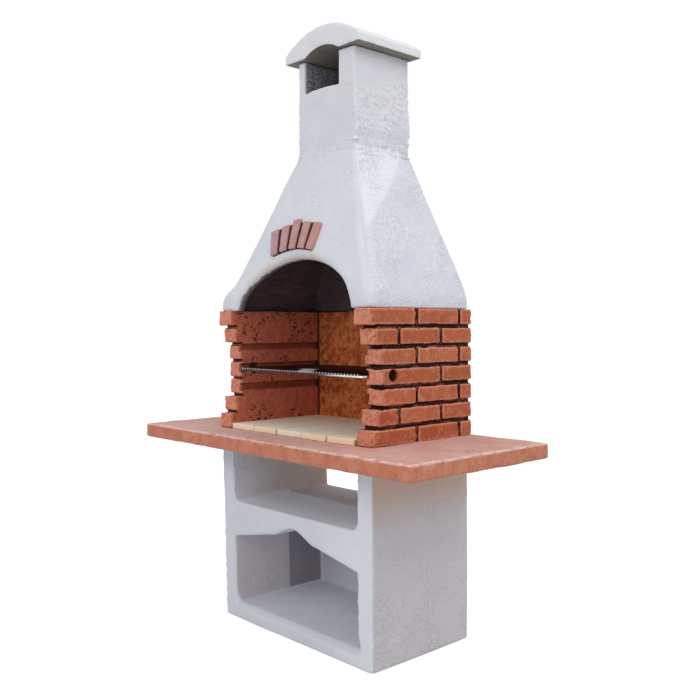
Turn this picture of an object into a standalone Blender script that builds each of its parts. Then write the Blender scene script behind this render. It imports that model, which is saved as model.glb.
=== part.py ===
"""Outdoor masonry barbecue: a pedestal, a worktop, a brick fire box, a hood and a chimney.

Metres, +Z up. The front, with the arches, faces -Y. The origin is on the ground, under the
middle of the worktop.
"""
import math

import bmesh
import bpy
from mathutils import Matrix, Vector

# Fit between pieces that touch, and how far a cutting shape runs past what it cuts
GAP = 0.0003
OVERRUN = 0.012

# Pedestal: two hollow castings, one behind the other
PEDESTAL_WIDTH = 0.700
PEDESTAL_DEPTH = 0.413
PEDESTAL_HEIGHT = 0.583
PEDESTAL_SETBACK = 0.138
PEDESTAL_WALL = 0.060
PEDESTAL_EDGE = 0.008
FRONT_MODULE_DEPTH = 0.222
SHELF_HEIGHT = 0.385
NICHE_CORNER = 0.026
STORE_FLOOR = 0.048
STORE_CORNER = 0.014
STORE_SIDE_HEIGHT = 0.268
STORE_SHOULDER_HEIGHT = 0.303
STORE_CROWN_HEIGHT = 0.339
STORE_BUMP_HALF = 0.112
STORE_CHAMFER = 0.014
STORE_BACK = 0.040

# Worktop: one slab, wider than the pedestal on both sides
WORKTOP_WIDTH = 1.250
WORKTOP_DEPTH = 0.570
WORKTOP_THICKNESS = 0.042
WORKTOP_CORNER = 0.016
WORKTOP_EDGE = 0.004

# Brick panels: seven courses, hollowed back at the front ends
BOX_WIDTH = 0.706
BOX_HEIGHT = 0.382
BOX_OVERHANG = 0.012
BOX_REAR_OVERHANG = 0.007
PANEL_THICKNESS = 0.062
BACK_THICKNESS = 0.058
COURSES = 7
JOINT_HEIGHT = 0.0115
JOINT_DEPTH = 0.0065
JOINT_FRONT_DEPTH = 0.014
PERPEND_WIDTH = 0.011
PERPEND_DEPTH = 0.0055
BRICK_PITCH = 0.187
FIRST_PERPEND = 0.0545
END_HOLLOW = 0.050
END_HOLLOW_SHARES = (0.22, 0.55, 1.0, 0.92, 0.84, 0.43, 0.0)
END_OUTER_RADIUS = 0.026
END_INNER_RADIUS = 0.009
END_REAR_RADIUS = 0.010
GROOVE_HEIGHT = 0.023
GROOVE_DEPTH = 0.0115
GROOVE_PITCH = 0.0655
GROOVE_MIDDLE = 0.1975
SPIT_HOLE_RADIUS = 0.0195
SPIT_HOLE_SETBACK = 0.094
SPIT_HOLE_HEIGHT = 0.1965
SPIT_HOLE_COURSE = 3

# Hearth: loose firebricks on the worktop, whole ones in front and cut ones behind
HEARTH_THICKNESS = 0.018
HEARTH_COLUMNS = 5
HEARTH_SETBACK = 0.002
FIREBRICK_LENGTH = 0.220
FIREBRICK_EDGE = 0.0015

# Hood: one thin casting that narrows from the fire box to the chimney
HOOD_WIDTH = 0.700
HOOD_DEPTH = 0.415
HOOD_BACK_INSET = 0.010
HOOD_BAND = 0.037
HOOD_SLOPE_HEIGHT = 0.456
HOOD_NECK = 0.024
HOOD_WALL = 0.032
HOOD_FOOT_RADIUS = 0.014
HOOD_SLOPE_RADIUS = 0.022
ARCH_HALF_SPAN = 0.262
ARCH_RISE = 0.152
ARCH_POWER = 1.8
ARCH_CHAMFER = 0.018

# Five wedge stones over the arch, the middle one taller
STONES = 5
STONE_INNER_RADIUS = 0.400
STONE_HEIGHT = 0.086
KEYSTONE_RISE = 0.010
STONE_JOINT = 0.0055
STONE_THICKNESS = 0.011
STONE_FAN = 14.5
STONE_ABOVE_ARCH = 0.034
STONE_OFFSET = 0.036

# Chimney: a square tube with a smoke outlet in front, under the cap
CHIMNEY_WIDTH = 0.262
CHIMNEY_DEPTH = 0.235
CHIMNEY_BACK_INSET = 0.029
CHIMNEY_HEIGHT = 0.276
CHIMNEY_WALL = 0.030
CHIMNEY_RADIUS = 0.012
OUTLET_WIDTH = 0.160
OUTLET_HEIGHT = 0.102
OUTLET_OFFSET = 0.020

# Cap: a barrel-topped slab with a vault through its underside
CAP_WIDTH = 0.333
CAP_DEPTH = 0.274
CAP_SIDE_HEIGHT = 0.026
CAP_RISE = 0.060
VAULT_HALF_WIDTH = 0.078
VAULT_RISE = 0.0225
CAP_EDGE = 0.003

# Grill: a bent rod frame, and thin wires on three cross rods
GRILL_WIDTH = 0.598
GRILL_DEPTH = 0.340
GRILL_BACK_CLEARANCE = 0.003
GRILL_ROD = 0.0035
GRILL_CORNER = 0.020
WIRE_RADIUS = 0.0018
WIRE_PITCH = 0.0137
CROSS_RODS = 3
CROSS_ROD_RADIUS = 0.0025
WELD_BITE = 0.0008

# Counts and shares that round the shapes
CORNER_STEPS = 4
ARCH_STEPS = 24
STORE_STEPS = 12
CAP_STEPS = 20
VAULT_STEPS = 12
STONE_STEPS = 2
HOLE_SIDES = 24
ROD_SIDES = 8
WIRE_SIDES = 6

# Places that follow from the sizes
WORKTOP_TOP = PEDESTAL_HEIGHT + WORKTOP_THICKNESS
PEDESTAL_FRONT = PEDESTAL_SETBACK - WORKTOP_DEPTH / 2
PEDESTAL_REAR = PEDESTAL_FRONT + PEDESTAL_DEPTH
STORE_HALF = PEDESTAL_WIDTH / 2 - PEDESTAL_WALL
BOX_FRONT = PEDESTAL_FRONT - BOX_OVERHANG
BOX_REAR = PEDESTAL_REAR + BOX_REAR_OVERHANG
BOX_BOTTOM = WORKTOP_TOP + GAP
BOX_TOP = BOX_BOTTOM + BOX_HEIGHT
BOX_INNER = BOX_WIDTH / 2 - PANEL_THICKNESS
BACK_FACE = BOX_REAR - BACK_THICKNESS
COURSE_HEIGHT = (BOX_HEIGHT - (COURSES - 1) * JOINT_HEIGHT) / COURSES
GROOVE_LEVELS = [BOX_BOTTOM + GROOVE_MIDDLE + step * GROOVE_PITCH for step in (-1, 0, 1)]
HOOD_BOTTOM = BOX_TOP + GAP
HOOD_REAR = BOX_REAR - HOOD_BACK_INSET
HOOD_FRONT = HOOD_REAR - HOOD_DEPTH
SLOPE_BOTTOM = HOOD_BOTTOM + HOOD_BAND
SLOPE_TOP = SLOPE_BOTTOM + HOOD_SLOPE_HEIGHT
HOOD_TOP = SLOPE_TOP + HOOD_NECK
CHIMNEY_REAR = HOOD_REAR - CHIMNEY_BACK_INSET
CHIMNEY_FRONT = CHIMNEY_REAR - CHIMNEY_DEPTH
CHIMNEY_TOP = HOOD_TOP + GAP + CHIMNEY_HEIGHT
CAP_BOTTOM = CHIMNEY_TOP + GAP


def clear_scene():
    """Remove whatever the opened file holds."""
    for item in list(bpy.data.objects):
        bpy.data.objects.remove(item, do_unlink=True)


def make_material(name, colour, roughness, metallic=0.0):
    """One Principled material with a plain colour."""
    material = bpy.data.materials.new(name)
    material.use_nodes = True
    shader = material.node_tree.nodes["Principled BSDF"]
    shader.inputs["Base Color"].default_value = (*colour, 1.0)
    shader.inputs["Roughness"].default_value = roughness
    shader.inputs["Metallic"].default_value = metallic
    material.diffuse_color = (*colour, 1.0)
    return material


def add_object(name, bm, material=None):
    """Turn a bmesh into a linked object whose faces point out."""
    bmesh.ops.recalc_face_normals(bm, faces=bm.faces)
    mesh = bpy.data.meshes.new(name)
    bm.to_mesh(mesh)
    bm.free()
    item = bpy.data.objects.new(name, mesh)
    bpy.context.scene.collection.objects.link(item)
    if material:
        mesh.materials.append(material)
    return item


def add_loft(bm, sections, ring=False):
    """Skin equal-length sections in order, capped at both ends or closed into a ring."""
    rows = [[bm.verts.new(point) for point in section] for section in sections]
    count = len(rows[0])
    pairs = list(zip(rows, rows[1:]))
    if ring:
        pairs.append((rows[-1], rows[0]))
    else:
        bm.faces.new(rows[0])
        bm.faces.new(rows[-1])
    for low, high in pairs:
        for index in range(count):
            after = (index + 1) % count
            bm.faces.new((low[index], low[after], high[after], high[index]))


def add_box(bm, low, high):
    """A plain box between two corners."""
    (x0, y0, z0), (x1, y1, z1) = low, high
    corners = [(x0, y0), (x1, y0), (x1, y1), (x0, y1)]
    add_loft(bm, [[(x, y, z) for x, y in corners] for z in (z0, z1)])


def arc(centre, radius, start, end, steps):
    """Points on an arc in the plane, angles in degrees."""
    points = []
    for step in range(steps + 1):
        angle = math.radians(start + (end - start) * step / steps)
        points.append((centre[0] + radius * math.cos(angle), centre[1] + radius * math.sin(angle)))
    return points


def rounded_rectangle(x0, x1, y0, y1, radius):
    """Outline of a rectangle with four equal rounded corners, anticlockwise."""
    corners = [(x1 - radius, y0 + radius, -90), (x1 - radius, y1 - radius, 0),
               (x0 + radius, y1 - radius, 90), (x0 + radius, y0 + radius, 180)]
    outline = []
    for x, y, start in corners:
        outline += arc((x, y), radius, start, start + 90, CORNER_STEPS)
    return outline


def grown(outline, distance):
    """Move each point of an anticlockwise outline outwards along its normal."""
    result = []
    count = len(outline)
    for index, point in enumerate(outline):
        before = Vector(outline[index - 1])
        after = Vector(outline[(index + 1) % count])
        here = Vector(point)
        into = (here - before).normalized()
        out = (after - here).normalized()
        normal = Vector((into.y + out.y, -into.x - out.x)).normalized()
        stretch = distance / max(normal.dot(Vector((into.y, -into.x))), 0.5)
        result.append(tuple(here + normal * stretch))
    return result


def along_y(outline, y):
    """An X-Z outline placed at one depth."""
    return [(x, y, z) for x, z in outline]


def at_height(outline, z):
    """An X-Y outline placed at one height."""
    return [(x, y, z) for x, y in outline]


def make_cutter(name, bm):
    """An object that only cuts others."""
    cutter = add_object(name, bm)
    cutter.hide_render = True
    cutter.display_type = "WIRE"
    return cutter


def combine(target, other, operation):
    """Add an exact Boolean modifier."""
    modifier = target.modifiers.new(other.name, "BOOLEAN")
    modifier.operation = operation
    modifier.solver = "EXACT"
    modifier.object = other


def bevel_edges(target, width, segments=2):
    """Round every edge that turns sharply."""
    modifier = target.modifiers.new("edges", "BEVEL")
    modifier.width = width
    modifier.segments = segments
    modifier.limit_method = "ANGLE"
    modifier.angle_limit = math.radians(40)


def smooth_round_faces(target, angle=35):
    """Shade round faces smooth and keep the sharp edges."""
    target.data.shade_smooth()
    target.data.set_sharp_from_angle(angle=math.radians(angle))


def store_outline():
    """The wood store's opening: straight rising shoulders and a round bump in the middle."""
    left, right = -STORE_HALF, STORE_HALF
    floor = STORE_FLOOR
    outline = arc((left + STORE_CORNER, floor + STORE_CORNER), STORE_CORNER, 180, 270, CORNER_STEPS)
    outline += arc((right - STORE_CORNER, floor + STORE_CORNER), STORE_CORNER, 270, 360, CORNER_STEPS)
    outline.append((right, STORE_SIDE_HEIGHT))
    bump = STORE_CROWN_HEIGHT - STORE_SHOULDER_HEIGHT
    for step in range(STORE_STEPS + 1):
        x = STORE_BUMP_HALF * (1 - 2 * step / STORE_STEPS)
        swell = math.cos(math.pi * x / (2 * STORE_BUMP_HALF)) ** 2
        outline.append((x, STORE_SHOULDER_HEIGHT + bump * swell))
    outline.append((left, STORE_SIDE_HEIGHT))
    return outline


def niche_outline():
    """The upper opening: a U with rounded lower corners, open under the worktop."""
    radius = NICHE_CORNER
    left, right = -STORE_HALF, STORE_HALF
    top = PEDESTAL_HEIGHT + OVERRUN
    outline = arc((left + radius, SHELF_HEIGHT + radius), radius, 180, 270, CORNER_STEPS)
    outline += arc((right - radius, SHELF_HEIGHT + radius), radius, 270, 360, CORNER_STEPS)
    outline += [(right, top), (left, top)]
    return outline


def make_pedestal_module(name, front, rear, material, chamfer=0, back=0):
    """One hollow casting of the pedestal, from one depth to another."""
    half = PEDESTAL_WIDTH / 2
    bm = bmesh.new()
    add_box(bm, (-half, front, 0), (half, rear, PEDESTAL_HEIGHT - GAP))
    body = add_object(name, bm, material)
    bevel_edges(body, PEDESTAL_EDGE)
    store = store_outline()
    bm = bmesh.new()
    end = rear - back if back else rear + OVERRUN
    sections = [along_y(store, front - OVERRUN), along_y(store, end)]
    if chamfer:
        wide = grown(store, chamfer + OVERRUN)
        sections = [along_y(wide, front - OVERRUN), along_y(store, front + chamfer), along_y(store, end)]
    add_loft(bm, sections)
    combine(body, make_cutter(name + "_store_cut", bm), "DIFFERENCE")
    bm = bmesh.new()
    niche = niche_outline()
    add_loft(bm, [along_y(niche, front - OVERRUN), along_y(niche, rear + OVERRUN)])
    combine(body, make_cutter(name + "_niche_cut", bm), "DIFFERENCE")
    return body


def make_pedestal(material):
    """The front casting, and the rear one that closes the wood store."""
    seam = PEDESTAL_FRONT + FRONT_MODULE_DEPTH
    make_pedestal_module("pedestal_front_module", PEDESTAL_FRONT, seam, material,
                         chamfer=STORE_CHAMFER)
    make_pedestal_module("pedestal_rear_module", seam + GAP, PEDESTAL_REAR, material,
                         back=STORE_BACK)


def make_worktop(material):
    """The slab that carries the fire box and forms a table on each side."""
    half_width, half_depth = WORKTOP_WIDTH / 2, WORKTOP_DEPTH / 2
    outline = rounded_rectangle(-half_width, half_width, -half_depth, half_depth, WORKTOP_CORNER)
    bm = bmesh.new()
    add_loft(bm, [at_height(outline, PEDESTAL_HEIGHT), at_height(outline, WORKTOP_TOP)])
    slab = add_object("worktop_slab", bm, material)
    bevel_edges(slab, WORKTOP_EDGE)


def course_bottom(course):
    """Height of a course's underside, counted from the lowest."""
    return BOX_BOTTOM + course * (COURSE_HEIGHT + JOINT_HEIGHT)


def panel_outline(side, front, outer, rear):
    """A side panel's plan at one layer, from its inner front end round to its inner rear end."""
    corners = [((BOX_INNER + END_INNER_RADIUS, front + END_INNER_RADIUS), END_INNER_RADIUS, 180),
               ((outer - END_OUTER_RADIUS, front + END_OUTER_RADIUS), END_OUTER_RADIUS, 270),
               ((outer - END_REAR_RADIUS, rear - END_REAR_RADIUS), END_REAR_RADIUS, 0)]
    points = []
    for centre, radius, start in corners:
        points += arc(centre, radius, start, start + 90, CORNER_STEPS)
    points.append((BOX_INNER, rear))
    return [(side * x, y) for x, y in points]


def panel_layers(side):
    """Plan and height of every layer of a side panel, courses and joints in turn."""
    half = BOX_WIDTH / 2
    fronts = [BOX_FRONT + END_HOLLOW * share for share in END_HOLLOW_SHARES]
    layers = []
    for course in range(COURSES):
        low = course_bottom(course)
        layers.append((panel_outline(side, fronts[course], half, BOX_REAR), low, low + COURSE_HEIGHT))
        if course + 1 < COURSES:
            joint_front = max(fronts[course], fronts[course + 1]) + JOINT_FRONT_DEPTH
            joint = panel_outline(side, joint_front, half - JOINT_DEPTH, BOX_REAR - JOINT_DEPTH)
            layers.append((joint, low + COURSE_HEIGHT, course_bottom(course + 1)))
    return layers


def add_stepped_panel(bm, layers):
    """Stack layers that share one flat inner face into a single closed body."""
    rows = []
    for outline, low, high in layers:
        rows.append([bm.verts.new((x, y, low)) for x, y in outline])
        rows.append([bm.verts.new((x, y, high)) for x, y in outline])
    for low, high in zip(rows[::2], rows[1::2]):
        for index in range(len(low) - 1):
            bm.faces.new((low[index], low[index + 1], high[index + 1], high[index]))
    for below, above in zip(rows[1::2], rows[2::2]):
        bm.faces.new(below + above[::-1])
    bm.faces.new(rows[0])
    bm.faces.new(rows[-1])
    bm.faces.new([row[0] for row in rows] + [row[-1] for row in rows[::-1]])


def perpend_distances(course, length):
    """Distances of a course's upright joints from the rear, every other course shifted by half."""
    shift = FIRST_PERPEND + (course % 2) * BRICK_PITCH / 2
    distances = []
    while shift < length - END_OUTER_RADIUS - PERPEND_WIDTH:
        distances.append(shift)
        shift += BRICK_PITCH
    return distances


def make_side_panel(name, side, material):
    """One brick-faced wall of the fire box, grooved inside and bored for a spit."""
    bm = bmesh.new()
    add_stepped_panel(bm, panel_layers(side))
    panel = add_object(name, bm, material)
    half = BOX_WIDTH / 2
    hole_y = BOX_FRONT + SPIT_HOLE_SETBACK
    bm = bmesh.new()
    for course in range(COURSES):
        low = course_bottom(course) - JOINT_HEIGHT / 2
        high = course_bottom(course) + COURSE_HEIGHT + JOINT_HEIGHT / 2
        front = BOX_FRONT + END_HOLLOW * END_HOLLOW_SHARES[course]
        for distance in perpend_distances(course, BOX_REAR - front):
            y = BOX_REAR - distance
            bored = course == SPIT_HOLE_COURSE and abs(y - hole_y) < 2 * SPIT_HOLE_RADIUS
            if not bored:
                x0, x1 = sorted((side * (half - PERPEND_DEPTH), side * (half + OVERRUN)))
                add_box(bm, (x0, y - PERPEND_WIDTH / 2, low), (x1, y + PERPEND_WIDTH / 2, high))
    combine(panel, make_cutter(name + "_perpend_cut", bm), "DIFFERENCE")
    bm = bmesh.new()
    for level in GROOVE_LEVELS:
        x0, x1 = sorted((side * (BOX_INNER - OVERRUN), side * (BOX_INNER + GROOVE_DEPTH)))
        add_box(bm, (x0, BOX_FRONT - OVERRUN, level - GROOVE_HEIGHT / 2),
                (x1, BACK_FACE, level + GROOVE_HEIGHT / 2))
    combine(panel, make_cutter(name + "_groove_cut", bm), "DIFFERENCE")
    bm = bmesh.new()
    circle = arc((hole_y, BOX_BOTTOM + SPIT_HOLE_HEIGHT), SPIT_HOLE_RADIUS, 0, 360, HOLE_SIDES)[:-1]
    ends = (side * (BOX_INNER - OVERRUN), side * (half + OVERRUN))
    add_loft(bm, [[(x, y, z) for y, z in circle] for x in ends])
    combine(panel, make_cutter(name + "_spit_cut", bm), "DIFFERENCE")


def make_back_panel(material):
    """The rear wall between the side panels, flat inside and brick-faced behind."""
    half = BOX_INNER - GAP
    bm = bmesh.new()
    add_box(bm, (-half, BACK_FACE + GAP, BOX_BOTTOM), (half, BOX_REAR, BOX_TOP))
    panel = add_object("back_brick_panel", bm, material)
    bm = bmesh.new()
    for course in range(1, COURSES):
        high = course_bottom(course)
        add_box(bm, (-half - OVERRUN, BOX_REAR - JOINT_DEPTH, high - JOINT_HEIGHT),
                (half + OVERRUN, BOX_REAR + OVERRUN, high))
    combine(panel, make_cutter("back_bed_cut", bm), "DIFFERENCE")
    bm = bmesh.new()
    for course in range(COURSES):
        low = course_bottom(course) - JOINT_HEIGHT / 2
        high = course_bottom(course) + COURSE_HEIGHT + JOINT_HEIGHT / 2
        x = -half + FIRST_PERPEND + (course % 2) * BRICK_PITCH / 2
        while x < half - PERPEND_WIDTH:
            add_box(bm, (x - PERPEND_WIDTH / 2, BOX_REAR - PERPEND_DEPTH, low),
                    (x + PERPEND_WIDTH / 2, BOX_REAR + OVERRUN, high))
            x += BRICK_PITCH
    combine(panel, make_cutter("back_perpend_cut", bm), "DIFFERENCE")


def make_hearth(material):
    """Two rows of firebricks, laid dry between the panels."""
    front = BOX_FRONT + HEARTH_SETBACK
    pitch = 2 * BOX_INNER / HEARTH_COLUMNS
    rows = {"front": (front, front + FIREBRICK_LENGTH), "rear": (front + FIREBRICK_LENGTH + GAP, BACK_FACE)}
    for row, (y0, y1) in rows.items():
        for column in range(HEARTH_COLUMNS):
            x0 = -BOX_INNER + column * pitch + GAP / 2
            bm = bmesh.new()
            add_box(bm, (x0, y0, WORKTOP_TOP + GAP), (x0 + pitch - GAP, y1, WORKTOP_TOP + HEARTH_THICKNESS))
            brick = add_object(f"hearth_firebrick_{row}_{column + 1}", bm, material)
            bevel_edges(brick, FIREBRICK_EDGE, segments=1)


def hood_sections(inset):
    """The hood's plan at each height, drawn in by a wall thickness for the inside."""
    levels = [(HOOD_BOTTOM, 0, HOOD_FOOT_RADIUS), (SLOPE_BOTTOM, 0, HOOD_FOOT_RADIUS),
              ((SLOPE_BOTTOM + SLOPE_TOP) / 2, 0.5, HOOD_SLOPE_RADIUS), (SLOPE_TOP, 1, CHIMNEY_RADIUS),
              (HOOD_TOP, 1, CHIMNEY_RADIUS)]
    wall = inset * HOOD_WALL
    sections = []
    for z, share, radius in levels:
        half = (HOOD_WIDTH + (CHIMNEY_WIDTH - HOOD_WIDTH) * share) / 2 - wall
        front = hood_face_y(z) + wall
        rear = HOOD_REAR + (CHIMNEY_REAR - HOOD_REAR) * share - wall
        sections.append(at_height(rounded_rectangle(-half, half, front, rear, radius), z))
    return sections


def hood_face_y(z):
    """Depth of the hood's front face at one height: upright band, straight slope, upright neck."""
    share = min(max((z - SLOPE_BOTTOM) / HOOD_SLOPE_HEIGHT, 0), 1)
    return HOOD_FRONT + (CHIMNEY_FRONT - HOOD_FRONT) * share


def arch_outline(extra):
    """The hood's mouth as a flattened arch, widened by some extra and run below the hood."""
    span, rise = ARCH_HALF_SPAN + extra, ARCH_RISE + extra
    outline = [(-span, HOOD_BOTTOM - OVERRUN), (span, HOOD_BOTTOM - OVERRUN)]
    for step in range(ARCH_STEPS + 1):
        angle = math.pi * step / ARCH_STEPS
        across = math.copysign(abs(math.cos(angle)) ** (2 / ARCH_POWER), math.cos(angle))
        outline.append((span * across, HOOD_BOTTOM + rise * math.sin(angle) ** (2 / ARCH_POWER)))
    return outline


def make_hood(material):
    """The hollow casting over the fire, open below, above and through the arch."""
    bm = bmesh.new()
    add_loft(bm, hood_sections(0) + hood_sections(1)[::-1], ring=True)
    hood = add_object("hood", bm, material)
    bm = bmesh.new()
    wide = [(x, hood_face_y(z) - OVERRUN, z) for x, z in arch_outline(ARCH_CHAMFER + OVERRUN)]
    edge = [(x, hood_face_y(z) + ARCH_CHAMFER, z) for x, z in arch_outline(0)]
    inside = [(x, CHIMNEY_FRONT + HOOD_WALL, z) for x, z in arch_outline(0)]
    add_loft(bm, [wide, edge, inside])
    combine(hood, make_cutter("hood_arch_cut", bm), "DIFFERENCE")
    smooth_round_faces(hood)


def make_stones(material):
    """Wedge stones bedded on the hood's face, fanned round a point below the arch."""
    face_up = Vector((0, CHIMNEY_FRONT - HOOD_FRONT, HOOD_SLOPE_HEIGHT)).normalized()
    face_out = Vector((0, -face_up.z, face_up.y))
    arch_top = HOOD_BOTTOM + ARCH_RISE + STONE_ABOVE_ARCH
    crown = Vector((-STONE_OFFSET, hood_face_y(arch_top), arch_top)) + face_out * GAP
    centre = crown - face_up * STONE_INNER_RADIUS
    turn = Matrix((Vector((1, 0, 0)), face_up, face_out)).transposed()
    wedge = 2 * STONE_FAN / STONES
    joint = math.degrees(STONE_JOINT / STONE_INNER_RADIUS)
    for number in range(STONES):
        start = 90 + STONE_FAN - (number + 1) * wedge + joint / 2
        end = start + wedge - joint
        outer = STONE_INNER_RADIUS + STONE_HEIGHT
        if number == STONES // 2:
            outer += KEYSTONE_RISE
        outline = arc((0, 0), STONE_INNER_RADIUS, end, start, STONE_STEPS)
        outline += arc((0, 0), outer, start, end, STONE_STEPS)
        bm = bmesh.new()
        add_loft(bm, [at_height(outline, 0), at_height(outline, STONE_THICKNESS)])
        stone = add_object(f"arch_stone_{number + 1}", bm, material)
        stone.location = centre
        stone.rotation_euler = turn.to_euler()


def make_chimney(material):
    """The square tube on the hood's neck, notched in front for the smoke."""
    half = CHIMNEY_WIDTH / 2
    wall = CHIMNEY_WALL
    low, high = HOOD_TOP + GAP, CHIMNEY_TOP
    outer = rounded_rectangle(-half, half, CHIMNEY_FRONT, CHIMNEY_REAR, CHIMNEY_RADIUS)
    inner = rounded_rectangle(-half + wall, half - wall, CHIMNEY_FRONT + wall, CHIMNEY_REAR - wall,
                              CHIMNEY_RADIUS)
    sections = [at_height(outer, low), at_height(outer, high), at_height(inner, high), at_height(inner, low)]
    bm = bmesh.new()
    add_loft(bm, sections, ring=True)
    shaft = add_object("chimney_shaft", bm, material)
    bm = bmesh.new()
    add_box(bm, (-OUTLET_OFFSET - OUTLET_WIDTH / 2, CHIMNEY_FRONT - OVERRUN, high - OUTLET_HEIGHT),
            (-OUTLET_OFFSET + OUTLET_WIDTH / 2, CHIMNEY_FRONT + 2 * wall, high + OVERRUN))
    combine(shaft, make_cutter("chimney_outlet_cut", bm), "DIFFERENCE")
    smooth_round_faces(shaft)


def make_cap(material):
    """The barrel-topped cover, with a vault from front to rear."""
    half = CAP_WIDTH / 2
    side_top = CAP_BOTTOM + CAP_SIDE_HEIGHT
    radius = (half ** 2 + CAP_RISE ** 2) / (2 * CAP_RISE)
    lean = math.degrees(math.asin(half / radius))
    outline = [(-half, CAP_BOTTOM)]
    vault_radius = (VAULT_HALF_WIDTH ** 2 + VAULT_RISE ** 2) / (2 * VAULT_RISE)
    vault_lean = math.degrees(math.asin(VAULT_HALF_WIDTH / vault_radius))
    vault_centre = (0, CAP_BOTTOM + VAULT_RISE - vault_radius)
    outline += arc(vault_centre, vault_radius, 90 + vault_lean, 90 - vault_lean, VAULT_STEPS)
    outline.append((half, CAP_BOTTOM))
    outline += arc((0, side_top + CAP_RISE - radius), radius, 90 - lean, 90 + lean, CAP_STEPS)
    middle = (CHIMNEY_FRONT + CHIMNEY_REAR) / 2
    bm = bmesh.new()
    add_loft(bm, [along_y(outline, middle - CAP_DEPTH / 2), along_y(outline, middle + CAP_DEPTH / 2)])
    cap = add_object("chimney_cap", bm, material)
    bevel_edges(cap, CAP_EDGE, segments=1)
    smooth_round_faces(cap)


def make_grill_frame(pivot, steel):
    """A rod bent into a rectangle that runs in the middle grooves."""
    half = GRILL_WIDTH / 2 - GRILL_ROD
    inner = rounded_rectangle(-half, half, GRILL_ROD, GRILL_DEPTH - GRILL_ROD, GRILL_CORNER)
    count = len(inner)
    sections = []
    for index, point in enumerate(inner):
        before = Vector(inner[index - 1])
        after = Vector(inner[(index + 1) % count])
        along = (after - before).normalized()
        out = Vector((along.y, -along.x, 0))
        ring = []
        for side in range(ROD_SIDES):
            angle = 2 * math.pi * (side + 0.5) / ROD_SIDES
            spot = Vector((*point, 0)) + out * GRILL_ROD * math.cos(angle)
            ring.append(spot + Vector((0, 0, GRILL_ROD * math.sin(angle))))
        sections.append(ring)
    bm = bmesh.new()
    add_loft(bm, sections, ring=True)
    frame = add_object("grill_frame", bm, steel)
    frame.parent = pivot
    smooth_round_faces(frame, angle=50)


def add_rod(bm, start, end, radius, sides):
    """A straight round rod between two points that differ along X or along Y."""
    along = (Vector(end) - Vector(start)).normalized()
    across = along.cross(Vector((0, 0, 1)))
    sections = []
    for point in (start, end):
        ring = []
        for side in range(sides):
            angle = 2 * math.pi * (side + 0.5) / sides
            offset = across * math.cos(angle) + Vector((0, 0, math.sin(angle)))
            ring.append(Vector(point) + offset * radius)
        sections.append(ring)
    add_loft(bm, sections)


def make_grill_grid(pivot, steel):
    """Thin wires laid from the front rod to the rear one, welded onto cross rods in the frame."""
    lift = GRILL_ROD + GAP + WIRE_RADIUS
    span = GRILL_WIDTH - 2 * GRILL_CORNER
    wires = int(span / WIRE_PITCH) + 1
    first = -(wires - 1) * WIRE_PITCH / 2
    bm = bmesh.new()
    for wire in range(wires):
        x = first + wire * WIRE_PITCH
        add_rod(bm, (x, 0, lift), (x, GRILL_DEPTH, lift), WIRE_RADIUS, WIRE_SIDES)
    grid = add_object("grill_grid", bm, steel)
    grid.parent = pivot
    bm = bmesh.new()
    half = GRILL_WIDTH / 2 - 2 * GRILL_ROD - GAP
    level = lift - WIRE_RADIUS - CROSS_ROD_RADIUS + WELD_BITE
    for rod in range(CROSS_RODS):
        y = GRILL_DEPTH * (rod + 1) / (CROSS_RODS + 1)
        add_rod(bm, (-half, y, level), (half, y, level), CROSS_ROD_RADIUS, WIRE_SIDES)
    rods = make_cutter("grill_cross_rods", bm)
    rods.parent = pivot
    combine(grid, rods, "UNION")
    smooth_round_faces(grid, angle=50)


def make_grill(steel):
    """The cooking grill, which slides forward out of the middle grooves."""
    pivot = bpy.data.objects.new("grill_slide", None)
    bpy.context.scene.collection.objects.link(pivot)
    rest = GROOVE_LEVELS[1] - GROOVE_HEIGHT / 2 + GAP + GRILL_ROD
    pivot.location = (0, BACK_FACE - GRILL_BACK_CLEARANCE - GRILL_DEPTH, rest)
    make_grill_frame(pivot, steel)
    make_grill_grid(pivot, steel)


def build():
    """Model the whole barbecue, from the ground up."""
    clear_scene()
    white_render = make_material("white_render", (0.78, 0.79, 0.81), 0.9)
    terracotta_slab = make_material("terracotta_slab", (0.62, 0.27, 0.17), 0.85)
    red_brick = make_material("red_brick", (0.55, 0.18, 0.09), 0.9)
    firebrick = make_material("firebrick", (0.80, 0.64, 0.42), 0.9)
    pink_stone = make_material("pink_stone", (0.60, 0.33, 0.29), 0.85)
    chrome_steel = make_material("chrome_steel", (0.80, 0.80, 0.80), 0.25, 1.0)
    make_pedestal(white_render)
    make_worktop(terracotta_slab)
    make_side_panel("left_brick_panel", -1, red_brick)
    make_side_panel("right_brick_panel", 1, red_brick)
    make_back_panel(red_brick)
    make_hearth(firebrick)
    make_hood(white_render)
    make_stones(pink_stone)
    make_chimney(white_render)
    make_cap(white_render)
    make_grill(chrome_steel)


build()
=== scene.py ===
"""Looks of an outdoor masonry barbecue, built up from the ground in the order of its assembly.

Metres, +Z up, the arched front towards -Y, the origin on the ground under the worktop.
"""
import math

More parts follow.
